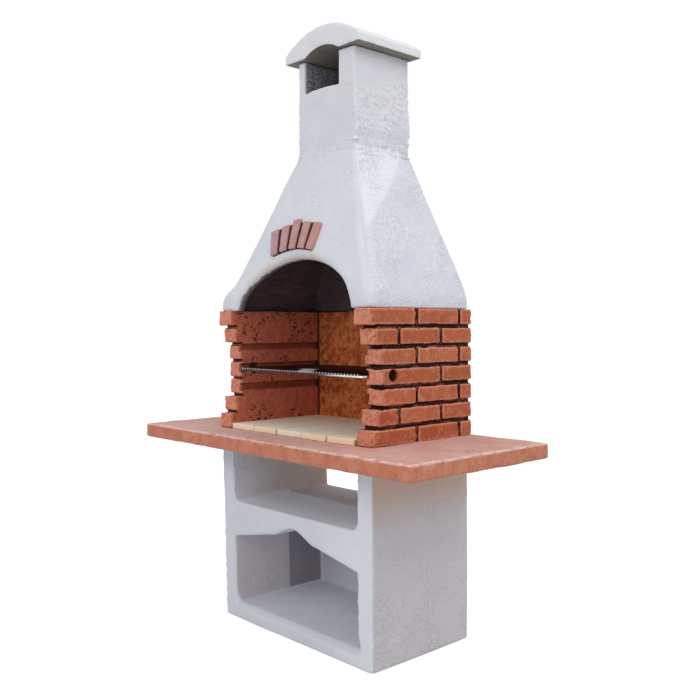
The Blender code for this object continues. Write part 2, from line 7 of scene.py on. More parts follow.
import bpy
import numpy as np
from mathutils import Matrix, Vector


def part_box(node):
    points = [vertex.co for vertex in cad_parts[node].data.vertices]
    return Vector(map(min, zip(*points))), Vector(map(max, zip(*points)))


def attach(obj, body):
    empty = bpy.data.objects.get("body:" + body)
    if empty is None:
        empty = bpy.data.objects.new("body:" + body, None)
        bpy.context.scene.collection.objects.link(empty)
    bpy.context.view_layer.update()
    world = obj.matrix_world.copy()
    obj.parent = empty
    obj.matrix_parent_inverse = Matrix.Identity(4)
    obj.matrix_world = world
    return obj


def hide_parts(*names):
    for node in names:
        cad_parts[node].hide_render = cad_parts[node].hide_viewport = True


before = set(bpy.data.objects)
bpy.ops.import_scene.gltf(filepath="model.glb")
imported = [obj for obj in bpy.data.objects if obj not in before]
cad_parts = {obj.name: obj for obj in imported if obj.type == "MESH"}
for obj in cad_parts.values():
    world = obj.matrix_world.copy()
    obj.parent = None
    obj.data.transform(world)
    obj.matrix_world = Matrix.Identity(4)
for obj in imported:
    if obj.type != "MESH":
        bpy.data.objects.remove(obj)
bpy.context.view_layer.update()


# The pedestal is two hollow castings, one behind the other: grey concrete with a thin coat of
# white render, trowelled smooth in front and left rough at the sides. Their rims are rounded by
# the mould, and a bead of mortar is squeezed out of the seam on the shelf.
PEDESTAL_PITCH = 0.0045
PEDESTAL_EDGE = 0.011
PEDESTAL_WALL = 0.060
PEDESTAL_LEAN = 0.016
OPENING_EDGE = 0.005
FOOT_SHARPNESS = 0.008
STORE_FLOOR = 0.048
STORE_CORNER = 0.014
STORE_SIDE_HEIGHT = 0.268
STORE_SHOULDER_HEIGHT = 0.303
STORE_CROWN_HEIGHT = 0.339
STORE_BUMP_HALF = 0.112
STORE_CHAMFER = 0.006
SILL_CHAMFER = 0.020
STORE_BACK = 0.040
STORE_BACK_EDGE = 0.012
SHELF_HEIGHT = 0.385
NICHE_CORNER = 0.026
NICHE_REAR_CORNER = 0.006
SEAM_OVERLAP = 0.010
SEAM_SINK = 0.0014
SEAM_BEAD = 0.005


def lattice_hash(ix, iy, iz, seed):
    """A repeatable number from 0 to 1 for each whole lattice point, by mixing its three indices."""
    mixed = (ix * 374761393 + iy * 668265263 + iz * 2147483629 + seed * 1442695041).astype(np.uint32)
    mixed = (mixed ^ (mixed >> np.uint32(13))) * np.uint32(1274126177)
    mixed = (mixed ^ (mixed >> np.uint32(15))) * np.uint32(2246822519)
    return (mixed ^ (mixed >> np.uint32(16))).astype(np.float64) / 4294967295.0


def noise(points, cell, seed, layers=3, keep=0.5):
    """Smooth noise round 0: the hashes of the eight lattice points around, from -1 to 1, blended by
    a quintic of the place within the cell. Each further layer has half the cell and a kept share of
    the height before it."""
    total = np.zeros(len(points))
    for layer in range(layers):
        scaled = points / (np.asarray(cell, float) / 2 ** layer)
        base = np.floor(scaled).astype(np.int64)
        part = scaled - base
        part = part ** 3 * (part * (part * 6 - 15) + 10)
        blended = np.zeros(len(points))
        for corner in range(8):
            step = np.array((corner & 1, corner >> 1 & 1, corner >> 2 & 1))
            weight = np.prod(np.where(step, part, 1 - part), axis=1)
            blended += weight * lattice_hash(*(base + step).T, seed + 17 * layer)
        total += keep ** layer * (2 * blended - 1)
    return total


def fade(low, high, value):
    """0 below the low limit, 1 above the high one, and a smooth cubic between."""
    share = np.clip((value - low) / (high - low), 0, 1)
    return share * share * (3 - 2 * share)


def overlap(radius, *distances):
    """Distance to the part that several solids share, with the edges where they meet rounded:
    the length of the vector of what each distance adds past the radius."""
    inner = distances[0]
    squares = np.maximum(distances[0] + radius, 0) ** 2
    for distance in distances[1:]:
        inner = np.maximum(inner, distance)
        squares = squares + np.maximum(distance + radius, 0) ** 2
    return np.minimum(inner, -radius) + np.sqrt(squares)


def between(value, low, high):
    """Distance outside a slab between two parallel planes, negative inside."""
    return np.maximum(low - value, value - high)


def outline_distance(x, z, outline):
    """Distance to a closed polygon in the X-Z plane, negative inside: the nearest of its edges,
    and the sign from how many edges a ray crosses."""
    x, z = np.broadcast_arrays(x, z)
    nearest = np.full(x.shape, np.inf)
    inside = np.zeros(x.shape, bool)
    for (x0, z0), (x1, z1) in zip(outline, outline[1:] + outline[:1]):
        along_x, along_z = x1 - x0, z1 - z0
        share = ((x - x0) * along_x + (z - z0) * along_z) / (along_x ** 2 + along_z ** 2)
        share = np.clip(share, 0, 1)
        nearest = np.minimum(nearest, np.hypot(x - x0 - share * along_x, z - z0 - share * along_z))
        crossing = x0 + (z - z0) * along_x / (along_z if along_z else 1)
        inside ^= ((z0 > z) != (z1 > z)) & (x < crossing)
    return np.where(inside, -nearest, nearest)


def arc_points(cx, cz, radius, start, end, steps=6):
    """Points on an arc in a plane, angles in degrees."""
    angles = np.radians(np.linspace(start, end, steps + 1))
    return list(zip(cx + radius * np.cos(angles), cz + radius * np.sin(angles)))


def grid_axes(low, high, pitch):
    """Three open axes of a grid that runs two cells past a box on each side."""
    axes = []
    for axis in range(3):
        count = math.ceil((high[axis] - low[axis]) / pitch) + 5
        start = (low[axis] + high[axis] - (count - 1) * pitch) / 2
        shape = [1, 1, 1]
        shape[axis] = count
        axes.append((start + pitch * np.arange(count)).reshape(shape))
    return axes


def point_normals(points, quads):
    """Unit normals at the points: the sum of the cross products of their quads' diagonals."""
    a, b, c, d = (points[quads[:, k]] for k in range(4))
    cross = np.cross(c - a, d - b)
    normals = np.zeros_like(points)
    for axis in range(3):
        for k in range(4):
            normals[:, axis] += np.bincount(quads[:, k], cross[:, axis], len(points))
    return normals / np.maximum(np.linalg.norm(normals, axis=1), 1e-12)[:, None]


def zero_surface(field, axes):
    """Points, quads and normals of the surface where a distance field is zero: one point in each
    grid cell that it crosses, at the mean of its crossings with the cell's edges, and one quad
    round each grid edge that it crosses."""
    inside = field < 0
    size = np.array(field.shape) - 1
    corners = [np.array((c & 1, c >> 1 & 1, c >> 2 & 1)) for c in range(8)]
    count = sum(inside[tuple(slice(c, c + n) for c, n in zip(corner, size))].astype(np.int8)
                for corner in corners)
    cells = np.argwhere((count > 0) & (count < 8))
    total, hits = np.zeros(cells.shape), np.zeros(len(cells))
    for first in corners:
        for step in np.eye(3, dtype=int)[first == 0]:
            near, far = field[tuple((cells + first).T)], field[tuple((cells + first + step).T)]
            crossed = (near < 0) != (far < 0)
            share = np.where(crossed, near / np.where(crossed, near - far, 1), 0)
            total += crossed[:, None] * (first + share[:, None] * step)
            hits += crossed
    pitch = axes[0].ravel()[1] - axes[0].ravel()[0]
    origin = np.array([axis.ravel()[0] for axis in axes])
    points = origin + pitch * (cells + total / hits[:, None])
    number = np.full(tuple(size), -1)
    number[tuple(cells.T)] = np.arange(len(cells))
    quads = []
    for axis in range(3):
        across = [(axis + 1) % 3, (axis + 2) % 3]
        low = inside.take(range(size[axis]), axis)
        edges = np.argwhere(low != inside.take(range(1, size[axis] + 1), axis))
        edges = edges[np.all((edges[:, across] > 0) & (edges[:, across] < size[across]), axis=1)]
        ring = []
        for back in ((1, 1), (0, 1), (0, 0), (1, 0)):
            cell = edges.copy()
            cell[:, across] -= back
            ring.append(number[tuple(cell.T)])
        ring = np.stack(ring, axis=1)
        quads.append(np.where(low[tuple(edges.T)][:, None], ring, ring[:, ::-1]))
    quads = np.concatenate(quads)
    return points, quads, point_normals(points, quads)


def make_piece(name, points, quads, material, **masks):
    """A smooth mesh object at the origin from points and quads, with a mask value per point for
    each name given."""
    mesh = bpy.data.meshes.new(name)
    mesh.vertices.add(len(points))
    mesh.vertices.foreach_set("co", np.ascontiguousarray(points, np.float32).ravel())
    mesh.loops.add(quads.size)
    mesh.loops.foreach_set("vertex_index", np.ascontiguousarray(quads, np.int32).ravel())
    mesh.polygons.add(len(quads))
    mesh.polygons.foreach_set("loop_start", np.arange(0, quads.size, 4, dtype=np.int32))
    mesh.update(calc_edges=True)
    mesh.validate()
    mesh.polygons.foreach_set("use_smooth", np.ones(len(mesh.polygons), bool))
    for key, values in masks.items():
        attribute = mesh.attributes.new(key, "FLOAT", "POINT")
        attribute.data.foreach_set("value", np.ascontiguousarray(values, np.float32))
    mesh.materials.append(material)
    piece = bpy.data.objects.new(name, mesh)
    bpy.context.scene.collection.objects.link(piece)
    return piece


def add_node(tree, kind, inputs=(), **settings):
    """A shader node with its settings; each input is given a value, or the signal that feeds it."""
    node = tree.nodes.new("ShaderNode" + kind)
    for key, value in settings.items():
        setattr(node, key, value)
    for key, value in dict(inputs).items():
        if isinstance(value, Signal):
            value.feed(node, key)
        else:
            node.inputs[key].default_value = value
    return node


class Signal:
    """An output in a shader tree. Arithmetic on signals adds Math nodes, and the methods add the
    other nodes that the materials share, all in the same tree."""

    def __init__(self, tree, socket):
        self.tree, self.socket = tree, socket

    def feed(self, node, key):
        self.tree.links.new(self.socket, node.inputs[key])

    def through(self, kind, inputs, output=0, **settings):
        return Signal(self.tree, add_node(self.tree, kind, inputs, **settings).outputs[output])

    def math(self, operation, *values, clamp=False):
        return self.through("Math", enumerate((self, *values)), operation=operation, use_clamp=clamp)

    def __add__(self, other):
        return self.math("ADD", other)

    def __mul__(self, other):
        return self.math("MULTIPLY", other)

    def ramp(self, low, high, start=0.0, end=1.0):
        """A smooth climb from one value to another between two limits, level outside them."""
        return self.through("MapRange", {"Value": self, "From Min": low, "From Max": high, "To Min": start,
                                         "To Max": end}, interpolation_type="SMOOTHSTEP")

    def noise(self, scale, detail=3.0, roughness=0.55, distortion=0.0):
        """A Noise Texture at this place, round 0.5."""
        return self.through("TexNoise", {"Vector": self, "Scale": scale, "Detail": detail,
                                         "Roughness": roughness, "Distortion": distortion})

    def drops(self, scale):
        """The distance to the nearest of many scattered points, and a random number for each."""
        cells = add_node(self.tree, "TexVoronoi", {"Vector": self, "Scale": scale, "Randomness": 1.0})
        chosen = self.through("SeparateColor", {"Color": Signal(self.tree, cells.outputs["Color"])})
        return Signal(self.tree, cells.outputs["Distance"]), chosen

    def stretched(self, *scale):
        """This place with each axis scaled on its own."""
        return self.through("Mapping", {"Vector": self, "Scale": scale})

    def mask(self, name):
        """A mesh's own mask, 0 on a piece that has none."""
        return self.through("Attribute", (), "Fac", attribute_name=name)

    def group(self, group, **inputs):
        """The outputs of a node group that is given this place and some numbers."""
        node = add_node(self.tree, "Group", {"Vector": self, **inputs}, node_tree=group)
        return {output.name: Signal(self.tree, output) for output in node.outputs}


def mix(share, first, second, kind="MIX"):
    """Two colours blended by a share. Three numbers are an 8-bit sRGB colour, and four a linear one."""
    inputs = {0: share, 6: first, 7: second}
    for key in (6, 7):
        if isinstance(inputs[key], tuple) and len(inputs[key]) == 3:
            inputs[key] = (*[v / 255 / 12.92 if v < 11 else ((v / 255 + 0.055) / 1.055) ** 2.4
                             for v in inputs[key]], 1.0)
    return share.through("Mix", inputs, 2, data_type="RGBA", blend_type=kind, clamp_result=True)


def open_group(name, *inputs):
    """A node group that is given a place and some numbers: its tree, the place and the numbers."""
    tree = bpy.data.node_groups.new(name, "ShaderNodeTree")
    tree.interface.new_socket("Vector", in_out="INPUT", socket_type="NodeSocketVector")
    for key in inputs:
        tree.interface.new_socket(key, in_out="INPUT", socket_type="NodeSocketFloat")
    source = tree.nodes.new("NodeGroupInput")
    return [tree] + [Signal(tree, source.outputs[key]) for key in ("Vector", *inputs)]


def close_group(tree, **outputs):
    """Ends a group with its outputs, each a number."""
    for key in outputs:
        tree.interface.new_socket(key, in_out="OUTPUT", socket_type="NodeSocketFloat")
    sink = tree.nodes.new("NodeGroupOutput")
    for key, signal in outputs.items():
        signal.feed(sink, key)
    return tree


def open_material(name, roughness=0.85, specular=0.3):
    """A material: itself, its Principled shader, and the place on the object."""
    material = bpy.data.materials.new(name)
    material.use_nodes = True
    tree = material.node_tree
    shader = tree.nodes["Principled BSDF"]
    shader.inputs["Roughness"].default_value = roughness
    shader.inputs["Specular IOR Level"].default_value = specular
    return material, shader, Signal(tree, add_node(tree, "TexCoord").outputs["Object"])


def finish_shader(shader, colour, height, strength, distance):
    """Gives a shader its colour and a bump."""
    colour.feed(shader, "Base Color")
    bump = height.through("Bump", {"Height": height, "Strength": strength, "Distance": distance})
    bump.feed(shader, "Normal")


def build_grit():
    """Cast grit: coarse and fine noise for the height, small round pits where Voronoi cells of
    some random value have their middles, and a slow mottle."""
    tree, place, scale, pits = open_group("cast_grit", "Scale", "Pits")
    place = place.through("VectorMath", {0: place, "Scale": scale}, operation="SCALE")
    coarse = place.noise(90.0, 4.0, 0.6)
    fine = place.noise(420.0, 2.0, 0.5)
    reach, chosen = place.drops(120.0)
    reach = reach + coarse.math("MULTIPLY_ADD", 0.35, -0.17)
    width = chosen.math("MULTIPLY_ADD", 0.25, 0.14)
    pit = reach.math("DIVIDE", width).ramp(0.6, 1.1, 1.0, 0.0) * chosen.math("LESS_THAN", pits)
    return close_group(tree, Height=pit.math("MULTIPLY_ADD", -1.2, coarse * 0.7 + fine * 0.3), Pit=pit,
                       Mottle=place.noise(14.0, 4.0, 0.6))


def build_trowelling():
    """Trowelled render: worm-like ridges from the fold of a distorted noise round its middle, lumps
    where a finer noise is high, level strokes from a stretched noise, sand grains, drops of thrown
    mortar in some Voronoi cells, and a few short scratches along the fold of a stretched noise.
    Besides the height, it gives a share of painted highlight on the ridges, lumps and drops."""
    tree, place, rough, spatter = open_group("trowelling", "Rough", "Spatter")
    ridge = place.noise(48.0, 3.0, 0.5, 0.9).math("MULTIPLY_ADD", 2.0, -1.0).math("ABSOLUTE")
    ridge = ridge.ramp(0.0, 0.22, 1.0, 0.0)
    lumps = place.noise(64.0, 3.0, 0.55).ramp(0.55, 0.66)
    strokes = place.stretched(1.0, 1.0, 5.0).noise(34.0, 3.0, 0.6)
    sand = place.noise(330.0, 3.0, 0.6)
    loud = rough * place.noise(9.0, 2.0).ramp(0.42, 0.62).math("MULTIPLY_ADD", 0.8, 0.2)
    raised = lumps * 1.1 + ridge * 0.8
    reach, chosen = place.drops(95.0)
    drop = (reach + place.noise(170.0, 2.0) * 0.9).ramp(0.72, 0.98, 1.0, 0.0)
    drop = drop * chosen.math("LESS_THAN", 0.55) * spatter
    line = place.stretched(1.0, 1.0, 3.0).noise(20.0, 1.0, 0.5, 0.4)
    line = line.math("MULTIPLY_ADD", 2.0, -1.0).math("ABSOLUTE").ramp(0.0, 0.035, 1.0, 0.0)
    scratch = line * place.noise(11.0, 1.0).ramp(0.60, 0.66)
    height = (strokes * 0.9 + raised) * loud + drop * 1.1 + strokes * 0.15 + sand * 0.13 + scratch * 0.22
    # Painted highlight: the ridges, lumps and drops are made paler in colour, as if they caught the light.
    raised = drop.math("MULTIPLY_ADD", 0.5, raised * loud, clamp=True)
    return close_group(tree, Height=height, Raised=raised)


cast_grit = build_grit()
trowelling = build_trowelling()


def build_render():
    """White render: two close whites in a slow mottle, painted shade in a pale and a darker grey, a
    painted highlight on the raised relief, and pits with grime; then, where the piece's masks say so,
    a fresher coat and painted light, a beige wash, painted warm light as if bounced off the terracotta
    worktop, and dusty grey that turns to black soot in specks."""
    material, shader, place = open_material("white_render", 0.88, 0.25)
    marks = place.group(trowelling, Rough=place.mask("rough") + 0.12, Spatter=place.mask("spatter"))
    grit = place.group(cast_grit, Scale=0.55, Pits=0.02)
    colour = mix(grit["Mottle"].ramp(0.3, 0.7), (228, 229, 235), (221, 223, 230))
    # Painted shade: greyer, and then a darker grey, where the piece's mask says so.
    bare = place.mask("bare")
    colour = mix(bare.ramp(0.0, 0.9), colour, (216, 210, 211))
    colour = mix(bare.ramp(0.9, 1.4), colour, (160, 152, 158))
    # Painted highlight on the raised relief.
    colour = mix(marks["Raised"], colour, (1.16, 1.16, 1.16, 1), "MULTIPLY")
    colour = mix(grit["Pit"] * 0.4, colour, (168, 164, 160))
    # A fresher coat, and painted light on the pieces whose mask asks for it.
    colour = mix(place.mask("fresh"), colour, (243, 244, 248))
    colour = mix(place.mask("wash") * 0.85, colour, (214, 204, 187))
    # Painted warm light, as if bounced off the terracotta worktop.
    colour = mix(place.mask("stained") * 0.85, colour, (219, 187, 161))
    soot = place.mask("soot")
    speck = place.noise(150.0, 3.0, 0.7)
    dusty = mix(speck.ramp(0.47, 0.54), (98, 98, 110), (234, 236, 240))
    colour = mix(soot.ramp(0.1, 0.4), colour, dusty)
    cloud = place.stretched(1.0, 1.0, 5.0).noise(22.0, 4.0, 0.6)
    black = mix(cloud.ramp(0.3, 0.7), (84, 69, 73), (104, 87, 90))
    black = mix(speck.ramp(0.62, 0.70), black, (124, 104, 100))
    edge = soot + speck.math("MULTIPLY_ADD", 2.2, -1.1)
    colour = mix(edge.ramp(0.42, 0.62), colour, black)
    finish_shader(shader, colour, grit["Height"] * 0.2 + marks["Height"], 0.8, 0.0028)
    return material


white_render = build_render()


def store_outline(half):
    """The wood store's opening: straight rising shoulders and a round bump, a squared cosine."""
    floor = STORE_FLOOR + STORE_CORNER
    outline = arc_points(STORE_CORNER - half, floor, STORE_CORNER, 180, 270)
    outline += arc_points(half - STORE_CORNER, floor, STORE_CORNER, 270, 360)
    across = np.linspace(1, -1, 25)
    bump = (STORE_CROWN_HEIGHT - STORE_SHOULDER_HEIGHT) * np.cos(across * math.pi / 2) ** 2
    crown = list(zip(STORE_BUMP_HALF * across, STORE_SHOULDER_HEIGHT + bump))
    return outline + [(half, STORE_SIDE_HEIGHT)] + crown + [(-half, STORE_SIDE_HEIGHT)]


def niche_outline(half, top, corner):
    """The upper opening: a U with rounded lower corners, open under the worktop."""
    centre = SHELF_HEIGHT + corner
    outline = arc_points(corner - half, centre, corner, 180, 270)
    outline += arc_points(half - corner, centre, corner, 270, 360)
    return outline + [(half, top), (-half, top)]


def make_pedestal_module(node, closed):
    """One casting: a rounded box less the store and the niche, each an outline run along Y and
    widened towards the front by its chamfer. The front one laps over the seam, and each dips under
    the other where it ends, so that the coat runs on. Then come slow waves and grains."""
    low, high = map(np.array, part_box(node))
    seam = low[1] if closed else high[1]
    axes = x, y, z = grid_axes(low, high, PEDESTAL_PITCH)
    half = high[0] - PEDESTAL_WALL
    block = overlap(PEDESTAL_EDGE, between(x, low[0], high[0]), y - high[1] if closed else low[1] - y,
                    between(z, low[2] - FOOT_SHARPNESS, high[2]))
    block = np.maximum(block, low[2] - z)
    store = outline_distance(x, z, store_outline(half))
    corner = NICHE_REAR_CORNER if closed else NICHE_CORNER
    niche = outline_distance(x, z, niche_outline(half, high[2] + 0.1, corner))
    if closed:
        store = overlap(STORE_BACK_EDGE, store, y - (high[1] - STORE_BACK))
    else:
        flare = STORE_CHAMFER + (SILL_CHAMFER - STORE_CHAMFER) * fade(0.10, 0.05, z)
        store = store - np.maximum(flare - (y - low[1]), 0) * 0.7
    field = overlap(OPENING_EDGE, block, -store, -niche)
    field = np.maximum(field, seam - y if closed else y - seam - SEAM_OVERLAP)
    points, quads, normals = zero_surface(field, axes)
    x, y, z = points.T
    past = y - seam
    near_seam = 1 - fade(0.0, 0.008, np.abs(past))
    if closed:
        dip = 1 - fade(0.0, 0.4 * SEAM_OVERLAP, past)
    else:
        dip = fade(0.5 * SEAM_OVERLAP, SEAM_OVERLAP, past)
    side = fade(0.75, 0.95, np.abs(normals[:, 0])) * (np.abs(x) > half + 0.02)
    low_down = 0.07 + 0.93 * fade(0.40, 0.10, z)
    spatter = side * low_down * (0.2 + 0.8 * fade(-0.5, 0.5, noise(points, 0.10, 3)))
    waves = 0.0009 * noise(points, 0.16, 1, 1) + 0.0004 * noise(points, 0.05, 2, 1)
    waves *= np.where(np.abs(normals[:, 1]) > 0.8, 0.3, 1)
    at_corner = fade(0.3, 0.7, np.abs(normals[:, 0])) * fade(0.3, 0.7, -normals[:, 1])
    grains = 0.0011 * noise(points, 0.018, 4) * spatter + 0.0022 * at_corner * noise(points, 0.016, 6, 2)
    on_shelf = (np.abs(z - SHELF_HEIGHT) < 0.004) & (normals[:, 2] > 0.5)
    bead = near_seam * on_shelf * fade(-0.6, 0.6, noise(points, (0.03, 0.01, 0.01), 5))
    points += normals * (waves + grains + SEAM_BEAD * bead - SEAM_SINK * dip)[:, None]
    inner = (np.abs(x) < half + 0.002) & (np.abs(normals[:, 0]) > 0.7)
    in_niche = inner & (z > SHELF_HEIGHT)
    in_store = inner & ~in_niche
    front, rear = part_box("pedestal_front_module")[0][1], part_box("pedestal_rear_module")[1][1]
    deep = (y - front) / (rear - front)
    bounce = fade(0.36, 0.52, z)
    # Painted shade: the sides, the wood store, the niche (more so further in) and the rear module's shelf are
    # painted greyer and darker.
    bare = 0.65 * side + 0.8 * in_store + (0.1 + 1.25 * deep) * in_niche
    bare += closed * (1.12 * on_shelf + 0.8 * in_store)
    # Painted warm light: a terracotta tint high on the sides, on the rear shelf and deep in the niche, as if
    # bounced off the worktop.
    stained = side * (0.03 + 0.97 * bounce) + 0.28 * closed * on_shelf
    stained += in_niche * (0.08 + 0.8 * deep) * (0.75 + 0.25 * bounce)
    # Painted light: a highlight on the rounded near corners, and a paler right part of the front, front of
    # the shelf and mouth of the niche; only the squeezed bead is a fresher coat.
    toward_right = (normals[:, 1] < -0.8) * fade(0.08, 0.27, x)
    fresh = np.max([0.8 * at_corner, 0.6 * toward_right, (0.2 if closed else 1.0) * on_shelf, bead,
                    0.3 * in_niche * fade(0.45, 0.10, deep)], axis=0)
    rough = 0.25 * side + 0.6 * inner + 0.4 * on_shelf + 0.45 * (normals[:, 1] > 0.8)
    x -= PEDESTAL_LEAN * fade(0.0, 0.62, z) * fade(0.10 - half, -half, x)
    piece = make_piece(node + "_casting", points, quads, white_render, rough=rough, fresh=fresh,
                       bare=bare * (1 - bead), stained=stained * (1 - bead), spatter=spatter)
    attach(piece, "masonry")
    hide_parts(node)


make_pedestal_module("pedestal_front_module", closed=False)
make_pedestal_module("pedestal_rear_module", closed=True)


# The worktop is one slab of terracotta-coloured concrete, cast face down and then brushed: the
# top is dusty pink with small air holes, and the rim is a deeper orange where the mould held it,
# with a ragged lip at the upper edge that is painted paler as a highlight.
WORKTOP_SPACING = 0.0052
WORKTOP_CORNER = 0.009
WORKTOP_EDGE = 0.006
WORKTOP_SAG = 0.003


def rounded_block(low, high, spacing, corner, edge):
    """Points and quads of a box's skin, spaced closer near its edges. Each plan corner square is bent
    to a quarter disc by its longer side over its diagonal, and then the upper and lower edges in the
    same way. Also returns how near each point is to an edge, as 0 away from it and 1 on it."""
    close = edge * np.array((0, 0.2, 0.45, 0.7))
    axes = []
    for start, end in zip(low, high):
        count = max(int(round((end - start - 2 * edge) / spacing)), 1)
        axes.append(np.concatenate((start + close, np.linspace(start + edge, end - edge, count + 1),
                                    end - close[::-1])))
    skin = np.ones(tuple(map(len, axes)), bool)
    skin[1:-1, 1:-1, 1:-1] = False
    number = np.full(skin.shape, -1)
    number[skin] = np.arange(skin.sum())
    quads = []
    for axis in range(3):
        for end in (0, -1):
            sheet = np.moveaxis(number, (axis, (axis + 1) % 3, (axis + 2) % 3), (0, 1, 2))[end]
            ring = np.stack((sheet[:-1, :-1], sheet[1:, :-1], sheet[1:, 1:], sheet[:-1, 1:]), axis=-1)
            quads.append(ring.reshape(-1, 4) if end else ring.reshape(-1, 4)[:, ::-1])
    middle, half = (low + high) / 2, (high - low) / 2
    offset = np.stack(np.meshgrid(*axes, indexing="ij"), axis=-1)[skin] - middle
    core = np.clip(offset[:, :2], corner - half[:2], half[:2] - corner)
    out = offset[:, :2] - core
    out *= (np.abs(out).max(axis=1) / np.maximum(np.linalg.norm(out, axis=1), 1e-9))[:, None]
    length = np.linalg.norm(out, axis=1)
    past = np.maximum(length - (corner - edge), 0)
    rise = np.maximum(np.abs(offset[:, 2]) - (half[2] - edge), 0)
    share = np.maximum(past, rise) / np.maximum(np.hypot(past, rise), 1e-9)
    share = np.where((past > 0) & (rise > 0), share, 1)
    out *= ((length - past + past * share) / np.maximum(length, 1e-9))[:, None]
    height = np.sign(offset[:, 2]) * (np.abs(offset[:, 2]) - rise + rise * share)
    points = middle + np.column_stack((core + out, height))
    return points, np.concatenate(quads), np.minimum(past, rise) / edge


def build_terracotta():
    """Terracotta-coloured concrete: pink on the top, orange on the rim, both mottled, with dark air
    holes and pale dust; painted light towards the left end of the top, a painted highlight along the
    upper edge, and painted shade on the underside."""
    material, shader, place = open_material("terracotta_slab")
    grit = place.group(cast_grit, Scale=0.6, Pits=0.16)
    fine = place.group(cast_grit, Scale=1.7, Pits=0.10)
    top = mix(grit["Mottle"].ramp(0.3, 0.72), (203, 151, 137), (214, 170, 158))
    rim = mix(fine["Mottle"].ramp(0.3, 0.7), (200, 121, 92), (213, 139, 111))
    colour = mix(place.mask("rim"), top, rim)
    # Pale dust, and painted light towards the left end of the top.
    dust = place.noise(60.0, 5.0, 0.7).ramp(0.5, 0.75) * 0.25 + place.mask("dusty") * 0.35
    colour = mix(dust, colour, (230, 198, 189))
    # Painted highlight along the upper edge.
    colour = mix(place.mask("lip") * 0.85, colour, (235, 201, 191))
    # Painted shade on the underside.
    colour = mix(place.mask("under"), colour, (160, 154, 160))
    colour = mix(grit["Pit"].math("MAXIMUM", place.mask("pit")) * 0.5, colour, (134, 80, 62))
    finish_shader(shader, colour, fine["Height"] * 0.35 + grit["Height"], 0.9, 0.0011)
    return material


def make_worktop():
    """The slab's skin, rounded, with waves along the rim and chips out of its edges."""
    low, high = map(np.array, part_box("worktop_slab"))
    low[2] -= WORKTOP_SAG
    points, quads, near_edge = rounded_block(low, high, WORKTOP_SPACING, WORKTOP_CORNER, WORKTOP_EDGE)
    normals = point_normals(points, quads)
    rim = fade(0.3, 0.8, 1 - np.abs(normals[:, 2]))
    upper = points[:, 2] > (low[2] + high[2]) / 2
    change = (0.0014 * noise(points, 0.09, 11) + 0.0006 * noise(points, 0.02, 17)) * rim
    change -= 0.0050 * near_edge * fade(0.0, 0.6, noise(points, 0.015, 12, 2))
    change += 0.0009 * noise(points, 0.045, 13) + 0.0012 * rim
    holes = fade(0.57, 0.82, noise(points, 0.012, 14, 2, 0.35)) * upper
    holes *= fade(-0.1, 0.5, noise(points, 0.09, 15, 1))
    points += normals * (change - 0.0018 * holes)[:, None]
    from_rim = np.minimum(high[0] - np.abs(points[:, 0]), high[1] - np.abs(points[:, 1]))
    # Painted highlight: a ragged pale line along the upper edge of the rim.
    ragged = from_rim + 0.011 * noise(points, (0.022, 0.022, 0.01), 16)
    broken = fade(-0.7, 0.1, noise(points, 0.013, 19, 2))
    lip = upper * fade(0.019, 0.008, ragged) * np.where(rim > 0.5, near_edge, 1) * broken
    rim_holes = rim * fade(0.60, 0.85, noise(points, (0.012, 0.012, 0.006), 18, 2, 0.4))
    # Painted shade: the underside, away from the rim, is painted grey.
    under = fade(0.85, 0.97, -normals[:, 2]) * fade(0.004, 0.012, from_rim)
    # Painted light: the top is made paler towards its left end.
    slab = make_piece("worktop_casting", points, quads, build_terracotta(), rim=rim, lip=lip, under=under,
                      dusty=fade(0.35, -0.45, points[:, 0]) * (1 - rim),
                      pit=np.maximum(holes, 0.7 * rim_holes))
    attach(slab, "masonry")
    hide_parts("worktop_slab")


make_worktop()


# The two side panels of the fire box are cast flat inside, with three grooves for the grill, and
# faced outside with seven courses of worn orange brick. Their front ends are hollowed back course
# by course, the joints are sunk and nearly black, and one brick is bored for a spit. The joints'
# black is also painted on the brick sides sunk within them, as shade, and the spit hole and the
# grooves are painted darker inside, also as shade.
PANEL_PITCH = 0.0028
FIT_GAP = 0.0003
COURSES = 7
BED_HEIGHT = 0.0115
BED_DEPTH = 0.0065
BED_REAR_DEPTH = 0.002
BED_FRONT_DEPTH = {-1: 0.007, 1: 0.014}
CORE_EDGE = 0.002
LEFT_AHEAD = 0.014
PERPEND_WIDTH = 0.0125
BRICK_PITCH = 0.187
FIRST_PERPEND = 0.0545
SHIFTED_PERPEND = 0.137
SHIFTED_PITCH = 0.177
BRICK_EDGE = 0.0038
BRICK_CORNER = 0.0035
BRICK_PROUD = 0.0025
BRICK_MISFIT = 0.0016
BRICK_SWELL = 0.0005
END_HOLLOW = 0.050
END_HOLLOW_SHARES = (0.22, 0.55, 1.0, 0.92, 0.84, 0.43, 0.0)
NOSE_OUTER_RADIUS = {-1: 0.007, 1: 0.013}
NOSE_INNER_RADIUS = 0.008
REAR_RADIUS = 0.005
GROOVE_HEIGHT = 0.023
GROOVE_DEPTH = 0.0115
GROOVE_PITCH = 0.0655
GROOVE_MIDDLE = 0.1975
SPIT_HOLE_RADIUS = 0.0172
SPIT_HOLE_SETBACK = 0.094
SPIT_HOLE_HEIGHT = 0.1940
SPIT_HOLE_COURSE = 3

panel_low, panel_high = map(np.array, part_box("right_brick_panel"))
back_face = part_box("back_brick_panel")[0][1]
brick_height = (panel_high[2] - panel_low[2] - (COURSES - 1) * BED_HEIGHT) / COURSES


